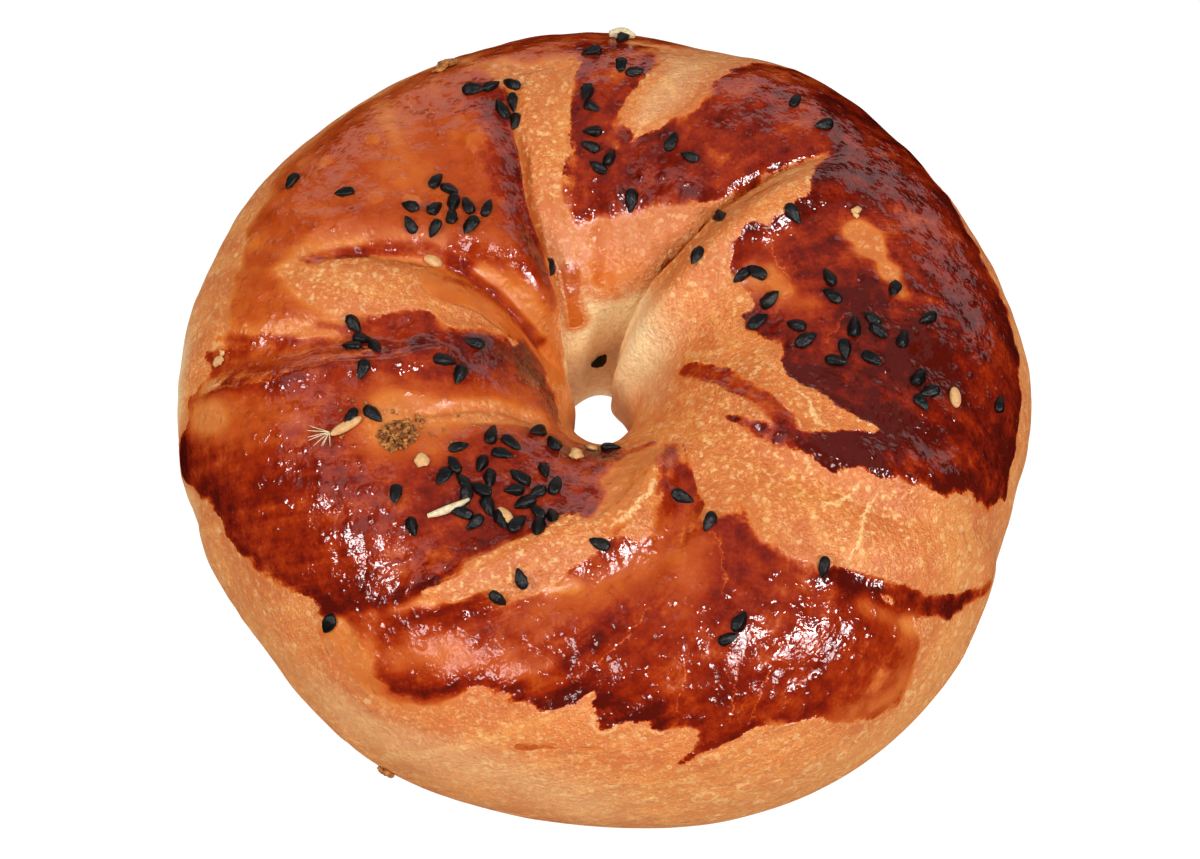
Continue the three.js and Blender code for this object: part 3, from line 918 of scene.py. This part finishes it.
def crust_material(settings):
    """Pale baked dough with patches of glossy egg wash, both painted from the mesh's own values."""
    material, start = new_material("baked_crust")
    place = millimetres(start)
    flow = start.attribute("flow", 1)
    streak = flow.scaled(STREAK_STRETCH).grain(1.3, 2.0, 0.6)
    wide_streak = flow.scaled((1, 1, 0.12)).grain(4.0, 1.0)
    calm = start.attribute("calm")
    streak, wide_streak = [0.5 + (value - 0.5) * calm for value in (streak, wide_streak)]
    blotch = place.grain(8.0, 2.0, 0.55)
    fleck = place.grain(2.0, 2.0, 0.6)
    dust = place.grain(0.55, 1.0, 0.65)
    fine = place.grain(0.3, 1.0, 0.6)

    spread = start.attribute("wash")
    tear = abs(start.attribute("tear") + (fleck - 0.5) * 2.2 + (dust - 0.5) * 0.9)
    torn = tear.step(0.22, 0.05) * start.attribute("tear_open") * fine.step(0.3, 0.6)
    ragged = tear.step(0.45, 0.1) * start.attribute("tear_open") * fine.step(0.25, 0.55)
    blister = start.attribute("blister") + (dust - 0.5) * 0.5 + (fleck - 0.5) * 1.1
    rim = abs(blister - 0.95).step(0.3, 0.08) * blotch.step(0.4, 0.55)
    dome = blister.step(1.05, 0.6)

    uneven = ((streak - 0.5) * 0.6 + (wide_streak - 0.5) * 0.9 + (blotch - 0.5) * 1.3
              + (fleck - 0.5) * 0.9 + (dust - 0.5) * 0.5)
    uneven = 1 + uneven * (0.55 + spread.step(0.35, 0.6) * 0.45)
    bubble = place.cells(1.5).step(0.17, 0.07) * fleck.step(0.42, 0.6)
    edge = (start.attribute("edge") + (streak - 0.5) * 1.3 + (fleck - 0.5) * 0.9
            + (dust - 0.5) * 0.8 + (fine - 0.5) * 0.3)
    cover = (edge * (0.14 + blotch.step(0.42, 0.58) * 0.5)).step(-0.15, 0.2)
    thick = spread * uneven * cover * (1 - torn * 0.5)
    thick = thick * (1 - rim * 0.2 - dome * 0.25 - bubble * 0.35)
    wash = thick.step(0.02, 0.24)
    stops = [(thickness, getattr(settings, name)) for name, thickness in WASH_STEPS]
    washed = start.node("ShaderNodeValToRGB", {"stops": stops}, {0: thick})

    cream = start.attribute("cream")
    cracked = start.attribute("cracked").step(0.15, 0.9)
    wander = place.node("ShaderNodeTexNoise", {}, {"Vector": place, "Scale": 0.9, "Detail": 0.0}, 1)
    skin = place.node("ShaderNodeVectorMath", {"operation": "ADD"}, {
        0: place, 1: wander.scaled((0.35, 0.35, 0.35))})
    cell = skin.cells(0.8) + (dust - 0.5) * 0.3
    scale = cell.step(0.4, 0.14) * (0.35 + cracked * 0.65) * fleck.step(0.34, 0.6)
    chink = cell.step(0.45, 0.75) * (0.25 + cracked * 0.6)
    stipple = skin.cells(0.42).step(0.42, 0.12) * (blotch * 0.5 + fleck * 0.5).step(0.36, 0.56)
    grit = place.grain(0.9, 1.0, 0.6)
    pimple = skin.cells(2.3) + (fleck - 0.5) * 0.3
    dot = pimple.step(0.24, 0.17) * wide_streak.step(0.42, 0.54)
    level = place.node("ShaderNodeSeparateXYZ", {}, {0: place}, 2)
    level = level + (blotch - 0.5) * 10 + (wide_streak - 0.5) * 7
    belt = level.step(5.0, 13.0) * level.step(30.0, 19.0)
    foot = level.step(7.0, 0.5)
    halo = edge.step(-2.6, 0.4) * fleck.step(0.3, 0.6)
    clear = 1 - start.attribute("edge").step(-2.8, -0.5) * 0.85
    speck = grit.step(0.56, 0.70) * (0.3 + cracked * 0.3)
    dry = blotch.step(0.36, 0.66).mix(settings.toast, settings.gold)
    for mask, colour in [
        (wide_streak.step(0.45, 0.7) * 0.6, settings.pale),
        (fleck.step(0.50, 0.68) * 0.5, settings.pale),
        (streak.step(0.50, 0.32) * 0.5, settings.toast),
        # pale dough, which is also painted light where it brightens the shaded hole and the outer
        # left side
        (cream.step(0.05, 0.9) * clear * 0.9, settings.cream),
        (dust.step(0.46, 0.3) * (0.5 - cream * 0.45), settings.toast),
        (belt * clear * 0.35, settings.pale),
        (foot * 0.7, settings.foot),
        (halo * 0.55, settings.halo),
        (speck, settings.spot),
        (dot * 0.45, settings.spot),
        (chink * 0.8, settings.halo),
        (stipple * 0.35, settings.spot),
        (scale * 0.5, settings.spot),
        (ragged * 0.85 + rim * 0.4, settings.spot),
    ]:
        dry = mask.mix(dry, colour)
    colour = wash.mix(dry, washed)

    wave = place.grain(2.4, 0.0)
    drop = place.cells(1.7).step(0.55, 0.0) * fleck.step(0.42, 0.58)
    drop = drop + place.cells(1.0).step(0.5, 0.0) * 0.2
    rough = fine * 0.12 + dust * 0.27 + streak * 0.22 + fleck * 0.14
    film = wave * 0.32 + drop * 0.18 + streak * 0.06 + dust * 0.06
    wet = (start.attribute("edge") + (fleck - 0.5) * 0.9).step(-0.4, 0.4)
    height = wet * film + (1 - wet) * rough
    bump = start.node("ShaderNodeBump", {}, {
        "Strength": 1.0, "Distance": settings.grain, "Height": height})
    gloss = thick.step(0.25, 0.55)
    set_surface(start, {
        "Base Color": colour,
        "Roughness": wash * (0.3 - gloss * 0.19 + (dust - 0.5) * 0.12) + (1 - wash) * 0.52,
        "Normal": bump,
    })
    return material


def plain_material(name, colour, speckle, roughness, size):
    """A matt material with a little unevenness in its colour."""
    material, start = new_material(name)
    place = millimetres(start)
    grain = place.grain(size, 3.0, 0.6)
    bump = start.node("ShaderNodeBump", {}, {
        "Strength": 0.7, "Distance": MM, "Height": grain * 0.2})
    set_surface(start, {
        "Base Color": grain.step(0.3, 0.7).mix(colour, speckle),
        "Roughness": roughness,
        "Specular IOR Level": 0.3,
        "Normal": bump,
    })
    return material


# Pieces


def crust_grid():
    """Bearings and angles across of the crust's points, closer together on top."""
    bearing = 360 * np.arange(CRUST_BEARINGS) / CRUST_BEARINGS
    top = int(CRUST_ACROSS * CRUST_TOP_SHARE)
    start, end = CRUST_TOP_ARC
    across = np.concatenate([
        np.linspace(start, end, top, endpoint=False),
        np.linspace(end, start + 360, CRUST_ACROSS - top, endpoint=False),
    ])
    return [grid.ravel() for grid in np.meshgrid(bearing, across, indexing="ij")]


def grid_faces():
    """Four-sided faces over the crust's points, closed both ways."""
    number = np.arange(CRUST_BEARINGS * CRUST_ACROSS).reshape(CRUST_BEARINGS, CRUST_ACROSS)
    ahead = np.roll(number, -1, axis=0)
    corners = [number, ahead, np.roll(ahead, -1, axis=1), np.roll(number, -1, axis=1)]
    return np.stack(corners, axis=-1).reshape(-1, 4)


def grid_ways(points):
    """The way out at each of the crust's points, from its neighbours."""
    grid = points.reshape(CRUST_BEARINGS, CRUST_ACROSS, 3)
    along = np.roll(grid, -1, axis=0) - np.roll(grid, 1, axis=0)
    over = np.roll(grid, -1, axis=1) - np.roll(grid, 1, axis=1)
    return unit(np.cross(along, over)).reshape(-1, 3)


def flow_places(bearing, across):
    """Places in millimetres that run with the twist of the dough, for its streaks."""
    end = CRUST_TOP_ARC[1]
    over = np.where(across > end, 3 * end - 2 * across, across) - 90
    turn = (bearing - around(TWISTS, bearing) * over) * DEGREE
    return np.stack([
        FLOW_RADIUS * np.cos(turn), FLOW_RADIUS * np.sin(turn), FLOW_PITCH * over], axis=-1)


def skin_values(bearing, across):
    """How far the skin stands out of the folded dough, and the values that paint its material."""
    plain = ring_point(bearing, across)
    ways = outward(ring_point, bearing, across)
    flow = flow_places(bearing, across)

    least, fade = CALM
    calm = np.clip(np.hypot(*(plain[:, :2] - MIDDLE).T) / FLOW_RADIUS, least, 1) ** fade
    stretched = flow * np.array(STREAK_STRETCH)
    high, size, seed = SPIKES
    spikes = high * calm * (SPIKE_LEVEL - np.abs(ripple(stretched, size, seed)))
    fray = sum(bumps(plain, kind) for kind in FRAY) + spikes
    wash, edge = egg_wash(plain, ways, bearing, across, fray)
    cream = np.clip(stroke_sum(plain, ways, CREAM_AND_PAINTED_LIGHT), 0, 1)
    cracked = np.clip(stroke_sum(plain, ways, CRACKED), 0, 1)
    tear, tear_open = tear_values(plain, ways)
    blister = blister_reach(plain)

    film = smooth_step(wash, *WASH_RISE)
    relief = sum(bumps(plain, kind) for kind in SWELLS)
    relief += (1 + MORE_RIPPLES * smooth_step(wash, *RIPPLE_RISE)) * bumps(plain, RIPPLES)
    more = 1 + MORE_STREAKS * smooth_step(across, *STREAK_RISE)
    relief += more * calm * bumps(stretched, STREAKS)
    relief += cracked * bumps(flow * np.array(CRACK_STRETCH), CRACKS)
    relief += WASH_HEIGHT * film
    for crease in CREASES:
        relief += crease_relief(plain, ways, crease)
    torn = tear_open * np.exp(-((tear / TEAR_WIDTH) ** 2))
    relief += TEAR_HEIGHT * torn * (1 - TEAR_SINK * film)
    rim, run = BLISTER_RISE
    relief += BLISTER_HEIGHT * smooth_step(rim - blister, 0, run)
    high, reach, end = SEED_BED
    for spot in ring_point(*np.array(seed_places())[:, :2].T):
        near = np.flatnonzero(np.abs(plain - spot).max(axis=1) < end)
        relief[near] += high * np.exp(-(np.linalg.norm(plain[near] - spot, axis=1) / reach) ** 2)
    relief = relief * smooth_step(np.sin(across * DEGREE), *UNDERSIDE_FADE)
    return relief, {
        "wash": wash, "edge": edge, "cream": cream, "cracked": cracked, "flow": flow,
        "tear": tear, "tear_open": tear_open, "blister": blister, "calm": calm,
    }


def add_values(piece, values):
    """Gives each point of a piece its values, for the material."""
    for name, value in values.items():
        kind, field = ("FLOAT", "value") if value.ndim == 1 else ("FLOAT_VECTOR", "vector")
        column = piece.data.attributes.new(name, kind, "POINT").data
        column.foreach_set(field, value.astype(np.float32).ravel())


def make_crust(settings):
    """The folded, egg-washed bread, in place of its solid."""
    grid = crust_grid()
    relief, values = skin_values(*grid)
    points = folded_point(*grid)
    points = points + grid_ways(points) * relief[:, None]
    points[:, 2] = np.maximum(points[:, 2], 0)
    piece = new_piece("bread_crust", points, grid_faces(), crust_material(settings), "crust")
    add_values(piece, values)
    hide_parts(NODE)


def footing(places):
    """Where places on the crust's skin are, and the way out there."""
    bearing, across = np.array(places, float)[:, :2].T
    relief, _ = skin_values(bearing, across)
    ways = outward(folded_point, bearing, across)
    return folded_point(bearing, across) + ways * relief[:, None], ways


def seed_shape(settings, size, draw):
    """One nigella seed: a drop with blunt sides, a pointed tip and a wrinkled skin."""
    points, faces = spindle(SEED_RINGS, SEED_SIDES, drop_width)
    turn = np.arctan2(points[:, 2], points[:, 0])
    sides = 3 + (next(draw) > 0.5)
    side = 1 + SEED_RIDGES * np.cos(sides * turn + 6 * next(draw))
    skin = 1 + SEED_WRINKLES * ripple(points * 7, 1.0, int(next(draw) * 999))
    waist = 1 - settings.taper * points[:, 1]
    points = points * np.stack([
        settings.width / MM * waist * side * skin,
        np.full(len(points), settings.length / MM),
        settings.thickness / MM * waist * side * skin,
    ], axis=-1)
    return points * size, faces


def make_seeds(settings):
    """The nigella seeds, where the solid has them."""
    draw = draws(FIRST_DRAW + 1)
    places = seed_places()
    least, larger = SEED_SIZES
    shapes = []
    for (_, _, turn), spot, way in zip(places, *footing(places)):
        points, faces = seed_shape(settings, least + larger * next(draw), draw)
        tilt = (next(draw) - 0.5) * SEED_TILT
        shapes.append((laid(points, spot, way, turn, settings.rise / MM, tilt), faces))
    material = plain_material(
        "nigella_skin", settings.skin, settings.skin_light, roughness=0.4, size=0.4)
    new_piece("nigella_seeds", *joined(shapes), material, "nigella")


def lump(size, flat, draw):
    """A crumb: a rough lump, uneven in every way and more or less flat."""
    points, faces = spindle(LUMP_RINGS, LUMP_SIDES, oval_width)
    seed = int(next(draw) * 9999)
    swell = 1 + 0.4 * ripple(points * 3.2, 1.0, seed) + 0.25 * ripple(points * 7, 1.0, seed + 1)
    stretch = np.array([
        0.8 + 0.5 * next(draw), 0.7 + 0.4 * next(draw), flat * (0.8 + 0.3 * next(draw))])
    return points * swell[:, None] * stretch * size, faces


def make_grains(settings):
    """Pale tan grains, longer and smoother than the crumbs, and flakes of crust like them."""
    draw = draws(FIRST_DRAW + 2)
    shapes = []
    for (_, _, size, flat), spot, way in zip(FLAKES, *footing(FLAKES)):
        points, faces = lump(size, flat, draw)
        turn, tilt = 6.3 * next(draw), 0.3 * (next(draw) - 0.5)
        shapes.append((laid(points, spot, way, turn, size * 0.2, tilt), faces))
    for (_, _, long, wide, turn), spot, way in zip(GRAINS, *footing(GRAINS)):
        points, faces = spindle(GRAIN_RINGS, GRAIN_SIDES, oval_width)
        points = points * np.array([wide, long, wide * 0.7]) * (1 - 0.3 * points[:, 1:2])
        shapes.append((laid(points, spot, way, turn * DEGREE, wide * 0.25), faces))
    material = plain_material(
        "pale_grain", settings.grain, settings.grain_light, roughness=0.5, size=0.7)
    new_piece("pale_grains", *joined(shapes), material, "crumb")


def make_crumbs(settings):
    """Groups of crumbs, some of them heaped."""
    draw = draws(FIRST_DRAW + 3)
    places = []
    for bearing, across, count, reach, size, flat, heap in CRUMBS:
        for _ in range(count):
            turn, away = 2 * math.pi * next(draw), reach * math.sqrt(next(draw))
            places.append((
                bearing + away * math.cos(turn) / (CRUMB_RADIUS * DEGREE),
                across + away * math.sin(turn) / (CRUMB_ROLL * DEGREE),
                size * settings.crumb_size * (0.7 + 0.6 * next(draw)),
                flat,
                heap * next(draw) * (1 - (away / max(reach, size)) ** 2),
            ))
    shapes = []
    for (_, _, size, flat, rise), spot, way in zip(places, *footing(places)):
        points, faces = lump(size, flat, draw)
        lift = size * (0.12 + 0.14 * flat) + rise
        turn, tilt = 6.3 * next(draw), 0.5 * (next(draw) - 0.5)
        shapes.append((laid(points, spot, way, turn, lift, tilt), faces))
    material = plain_material(
        "dry_crumb", settings.crumb, settings.crumb_light, roughness=0.8, size=0.9)
    new_piece("crumbs", *joined(shapes), material, "crumb")


def strand(line, thick):
    """A thin tapering straw along a line of points."""
    line = np.asarray(line, float)
    sides = STRAW_SIDES
    least, start, run = STRAW_TAPER
    points, faces = [], []
    for i, spot in enumerate(line):
        way = unit(line[min(i + 1, len(line) - 1)] - line[max(i - 1, 0)])
        across = unit(np.cross(way, STRAW_ASIDE))
        over = np.cross(way, across)
        share = i / (len(line) - 1)
        half = thick / 2 * (least + (1 - least) * math.sin(math.pi * (start + run * share)))
        for k in range(sides):
            turn = 2 * math.pi * k / sides
            points.append(spot + half * (math.cos(turn) * across + math.sin(turn) * over))
    for i in range(len(line) - 1):
        for k in range(sides):
            a, b = i * sides + k, i * sides + (k + 1) % sides
            faces.append((a, b, b + sides))
            faces.append((a, b + sides, a + sides))
    last = (len(line) - 1) * sides
    for k in range(1, sides - 1):
        faces.append((0, k + 1, k))
        faces.append((last, last + k, last + k + 1))
    return np.array(points), np.array(faces)


def make_chaff(settings):
    """Straw husks and the fanned bristles of one bit of chaff."""
    shapes = []
    bristles = [
        ([BRISTLE_START, end], BRISTLE_THICKNESS, (BRISTLE_LIFT, lift))
        for *end, lift in BRISTLE_ENDS
    ]
    for path, thick, lift in STRAWS + bristles:
        places = smooth_path(path, STRAW_STEPS)
        spots, ways = footing(places)
        shapes.append(strand(spots + ways * np.linspace(*lift, len(spots))[:, None], thick))
    material = plain_material(
        "straw", settings.straw, settings.straw_light, roughness=0.6, size=0.6)
    new_piece("straw_chaff", *joined(shapes), material, "crumb")


# Stage


def area_light(name, way, distance, size, watts, gives):
    """A soft square light that looks at the bread."""
    light = bpy.data.lights.new(name, "AREA")
    light.shape = "RECTANGLE"
    light.size, light.size_y = size
    light.energy = watts
    lamp = bpy.data.objects.new(name, light)
    aim = Vector(LIGHT_AIM)
    lamp.location = aim + Vector(way).normalized() * distance
    lamp.rotation_euler = (aim - lamp.location).to_track_quat("-Z", "Y").to_euler()
    lamp.visible_glossy = gives != "glow"
    lamp.visible_diffuse = gives != "gleam"
    bpy.context.scene.collection.objects.link(lamp)


def stage_piece(name, points, faces, material):
    """A large plain surface round the bread that isn't part of it."""
    piece = mesh_object(name, points, faces, material)
    piece.visible_glossy = False
    return piece


def make_table(settings):
    """A plain pale table top, lit from below, and a round backdrop for low views."""
    material, start = new_material("pale_table")
    set_surface(start, {
        "Base Color": (0, 0, 0, 1),
        "Roughness": 0.9,
        "Specular IOR Level": 0,
        "Emission Color": (*settings.table, 1),
        "Emission Strength": TABLE_GLOW,
    })
    half = TABLE_SIZE / 2
    corners = [(-half, -half, 0), (half, -half, 0), (half, half, 0), (-half, half, 0)]
    stage_piece("table_top", corners, [(0, 1, 2, 3)], material)
    turns = [2 * math.pi * i / BACKDROP_SIDES for i in range(BACKDROP_SIDES)]
    ring = [(half * math.cos(t), half * math.sin(t)) for t in turns]
    points = [(x, y, z) for z in (0, BACKDROP_HEIGHT) for x, y in ring]
    faces = [(i, j, j + BACKDROP_SIDES, i + BACKDROP_SIDES)
             for i, j in zip(range(BACKDROP_SIDES), np.roll(range(BACKDROP_SIDES), -1).tolist())]
    backdrop = stage_piece("backdrop", points, faces, material)
    backdrop.visible_diffuse = False
    backdrop.visible_shadow = False


def make_world(strength):
    """Soft light from all round."""
    world = bpy.data.worlds.new("studio_air")
    world.use_nodes = True
    background = world.node_tree.nodes["Background"]
    background.inputs["Color"].default_value = (1, 1, 1, 1)
    background.inputs["Strength"].default_value = strength
    world.cycles_visibility.glossy = False
    bpy.context.scene.world = world


def make_camera(settings):
    """A camera at the photograph's viewing angle."""
    tilt = settings.elevation
    upward = Vector((0, math.sin(tilt), math.cos(tilt)))
    back = Vector((0, -math.cos(tilt), math.sin(tilt)))
    target = Vector(CAMERA_AIM) * MM - upward * CAMERA_DROP * MM
    camera = bpy.data.cameras.new("photo_camera")
    camera.lens = settings.lens
    camera.sensor_width = SENSOR_WIDTH
    eye = bpy.data.objects.new("photo_camera", camera)
    eye.location = target + back * settings.distance
    eye.rotation_euler = (-back).to_track_quat("-Z", "Y").to_euler()
    bpy.context.scene.collection.objects.link(eye)
    bpy.context.scene.camera = eye


# Settings


def tone(red, green, blue):
    """A colour of the screen, from 0 to 255, as linear light."""
    shares = [value / 255 for value in (red, green, blue)]
    return tuple(s / 12.92 if s <= 0.04045 else ((s + 0.055) / 1.055) ** 2.4 for s in shares)


def shade(name, description, *screen):
    """A setting that holds a colour, given as a colour of the screen."""
    return bpy.props.FloatVectorProperty(
        name=name, description=description, default=tone(*screen), min=0, max=1, subtype="COLOR")


def small_length(name, description, default):
    """A setting that holds a small length, given in metres."""
    return bpy.props.FloatProperty(
        name=name, description=description, default=default, min=0, unit="LENGTH", precision=5)


class CrustSettings(bpy.types.PropertyGroup):
    """Crust and egg wash"""

    grain: small_length("Skin Grain", "Height of the skin's fine grain", 0.001)
    wash_trace: shade("Wash, Trace", "Egg wash where there is hardly any", 228, 146, 66)
    wash_thin: shade("Wash, Thin", "Egg wash where it is thin", 212, 112, 34)
    wash_gold: shade("Wash, Gold", "Egg wash between thin and common", 186, 76, 20)
    wash_brown: shade("Wash, Brown", "Egg wash of common thickness", 154, 44, 12)
    wash_deep: shade("Wash, Deep", "Egg wash where it is thick", 122, 26, 9)
    wash_thickest: shade("Wash, Thickest", "Egg wash where it ran together", 84, 17, 9)
    toast: shade("Toasted Crust", "Dry crust in its darker blotches", 206, 106, 40)
    gold: shade("Golden Crust", "Dry crust in its common blotches", 223, 127, 50)
    pale: shade("Pale Crust", "Streaks of dry crust", 236, 156, 74)
    spot: shade("Spots", "Specks, scales and torn edges of the skin", 248, 204, 136)
    # Pale dough, made paler still so that it also serves as painted light in the shaded hole and on
    # the outer left side
    cream: shade(
        "Cream", "Dough that the oven hardly coloured, at a side and in the hole", 253, 230, 172)
    halo: shade("Halo", "Crust along the edge of the wash and between the scales", 204, 104, 34)
    foot: shade("Foot", "Crust that lay on the tray", 168, 84, 36)


class SeedSettings(bpy.types.PropertyGroup):
    """Nigella seeds"""

    length: small_length("Length", "Length of a nigella seed", 0.0031)
    width: small_length("Width", "Width of a nigella seed", 0.00162)
    thickness: small_length("Thickness", "Thickness of a nigella seed", 0.00138)
    taper: bpy.props.FloatProperty(
        name="Taper", description="How much narrower one end of a seed is",
        default=0.3, subtype="FACTOR")
    rise: small_length("Rise", "Height of a seed's middle over the crust", 0.00025)
    skin: shade("Skin", "Skin of the seeds", 5, 5, 6)
    skin_light: shade("Skin, Light", "Lighter flecks of the seeds' skin", 14, 13, 14)


class BitsSettings(bpy.types.PropertyGroup):
    """Grains, crumbs and chaff"""

    crumb_size: bpy.props.FloatProperty(
        name="Crumb Size", description="Size of the crumbs, against the real ones",
        default=1, min=0.1, max=3)
    grain: shade("Grain", "Pale grains and flakes of crust", 206, 150, 92)
    grain_light: shade("Grain, Light", "Lighter flecks of the grains", 226, 180, 120)
    crumb: shade("Crumb", "Crumbs of the crust", 108, 56, 22)
    crumb_light: shade("Crumb, Light", "Lighter flecks of the crumbs", 206, 136, 66)
    straw: shade("Straw", "Husks and bristles of the chaff", 206, 182, 136)
    straw_light: shade("Straw, Light", "Lighter flecks of the chaff", 238, 222, 186)


class StageSettings(bpy.types.PropertyGroup):
    """Table top, camera and light"""

    elevation: bpy.props.FloatProperty(
        name="Elevation", description="Camera's angle over the table",
        default=62 * DEGREE, subtype="ANGLE")
    distance: bpy.props.FloatProperty(
        name="Distance", description="From the camera to the bread", default=0.56, unit="LENGTH")
    lens: bpy.props.FloatProperty(
        name="Lens", description="Focal length in millimetres", default=123.98, unit="CAMERA")
    air: bpy.props.FloatProperty(
        name="Air", description="Strength of the light from all round", default=0.2)
    table: shade("Table Top", "Plain table top under the bread, lit from below", 255, 255, 255)


# Operators


class ACMA_OT_crust(bpy.types.Operator):
    """Makes the folded crust with its egg wash"""

    bl_idname = "acma.make_crust"
    bl_label = "Crust"

    def execute(self, context):
        make_crust(context.scene.acma_crust)
        return {"FINISHED"}


class ACMA_OT_seeds(bpy.types.Operator):
    """Strews the nigella seeds"""

    bl_idname = "acma.make_seeds"
    bl_label = "Nigella Seeds"

    def execute(self, context):
        make_seeds(context.scene.acma_seeds)
        return {"FINISHED"}


class ACMA_OT_bits(bpy.types.Operator):
    """Adds the pale grains, the crumbs and the chaff"""

    bl_idname = "acma.make_bits"
    bl_label = "Grains, Crumbs and Chaff"

    def execute(self, context):
        settings = context.scene.acma_bits
        make_grains(settings)
        make_crumbs(settings)
        make_chaff(settings)
        return {"FINISHED"}


class ACMA_OT_stage(bpy.types.Operator):
    """Sets up the table top, the lights and the camera"""

    bl_idname = "acma.make_stage"
    bl_label = "Stage"

    def execute(self, context):
        settings = context.scene.acma_stage
        make_table(settings)
        make_world(settings.air)
        for light in LIGHTS:
            area_light(*light)
        make_camera(settings)
        context.scene.view_settings.view_transform = "Standard"
        return {"FINISHED"}


class ACMA_PT_panel(bpy.types.Panel):
    """Lists the settings and the steps"""

    bl_idname = "ACMA_PT_panel"
    bl_label = "Acma Bread Ring"
    bl_space_type = "VIEW_3D"
    bl_region_type = "UI"
    bl_category = "Acma"

    def draw(self, context):
        for name, group in GROUPS.items():
            box = self.layout.box()
            box.label(text=group.__doc__)
            for setting in group.__annotations__:
                box.prop(getattr(context.scene, name), setting)
        for operator in OPERATORS:
            self.layout.operator(operator.bl_idname)


OPERATORS = (ACMA_OT_crust, ACMA_OT_seeds, ACMA_OT_bits, ACMA_OT_stage)
GROUPS = {
    "acma_crust": CrustSettings,
    "acma_seeds": SeedSettings,
    "acma_bits": BitsSettings,
    "acma_stage": StageSettings,
}
CLASSES = (*GROUPS.values(), *OPERATORS, ACMA_PT_panel)


def register():
    for cls in CLASSES:
        bpy.utils.register_class(cls)
    for name, group in GROUPS.items():
        setattr(bpy.types.Scene, name, bpy.props.PointerProperty(type=group))


def unregister():
    for name in GROUPS:
        delattr(bpy.types.Scene, name)
    for cls in reversed(CLASSES):
        bpy.utils.unregister_class(cls)


def main():
    register()
    bpy.ops.acma.make_crust()
    bpy.ops.acma.make_seeds()
    bpy.ops.acma.make_bits()
    bpy.ops.acma.make_stage()


if __name__ == "__main__":
    main()
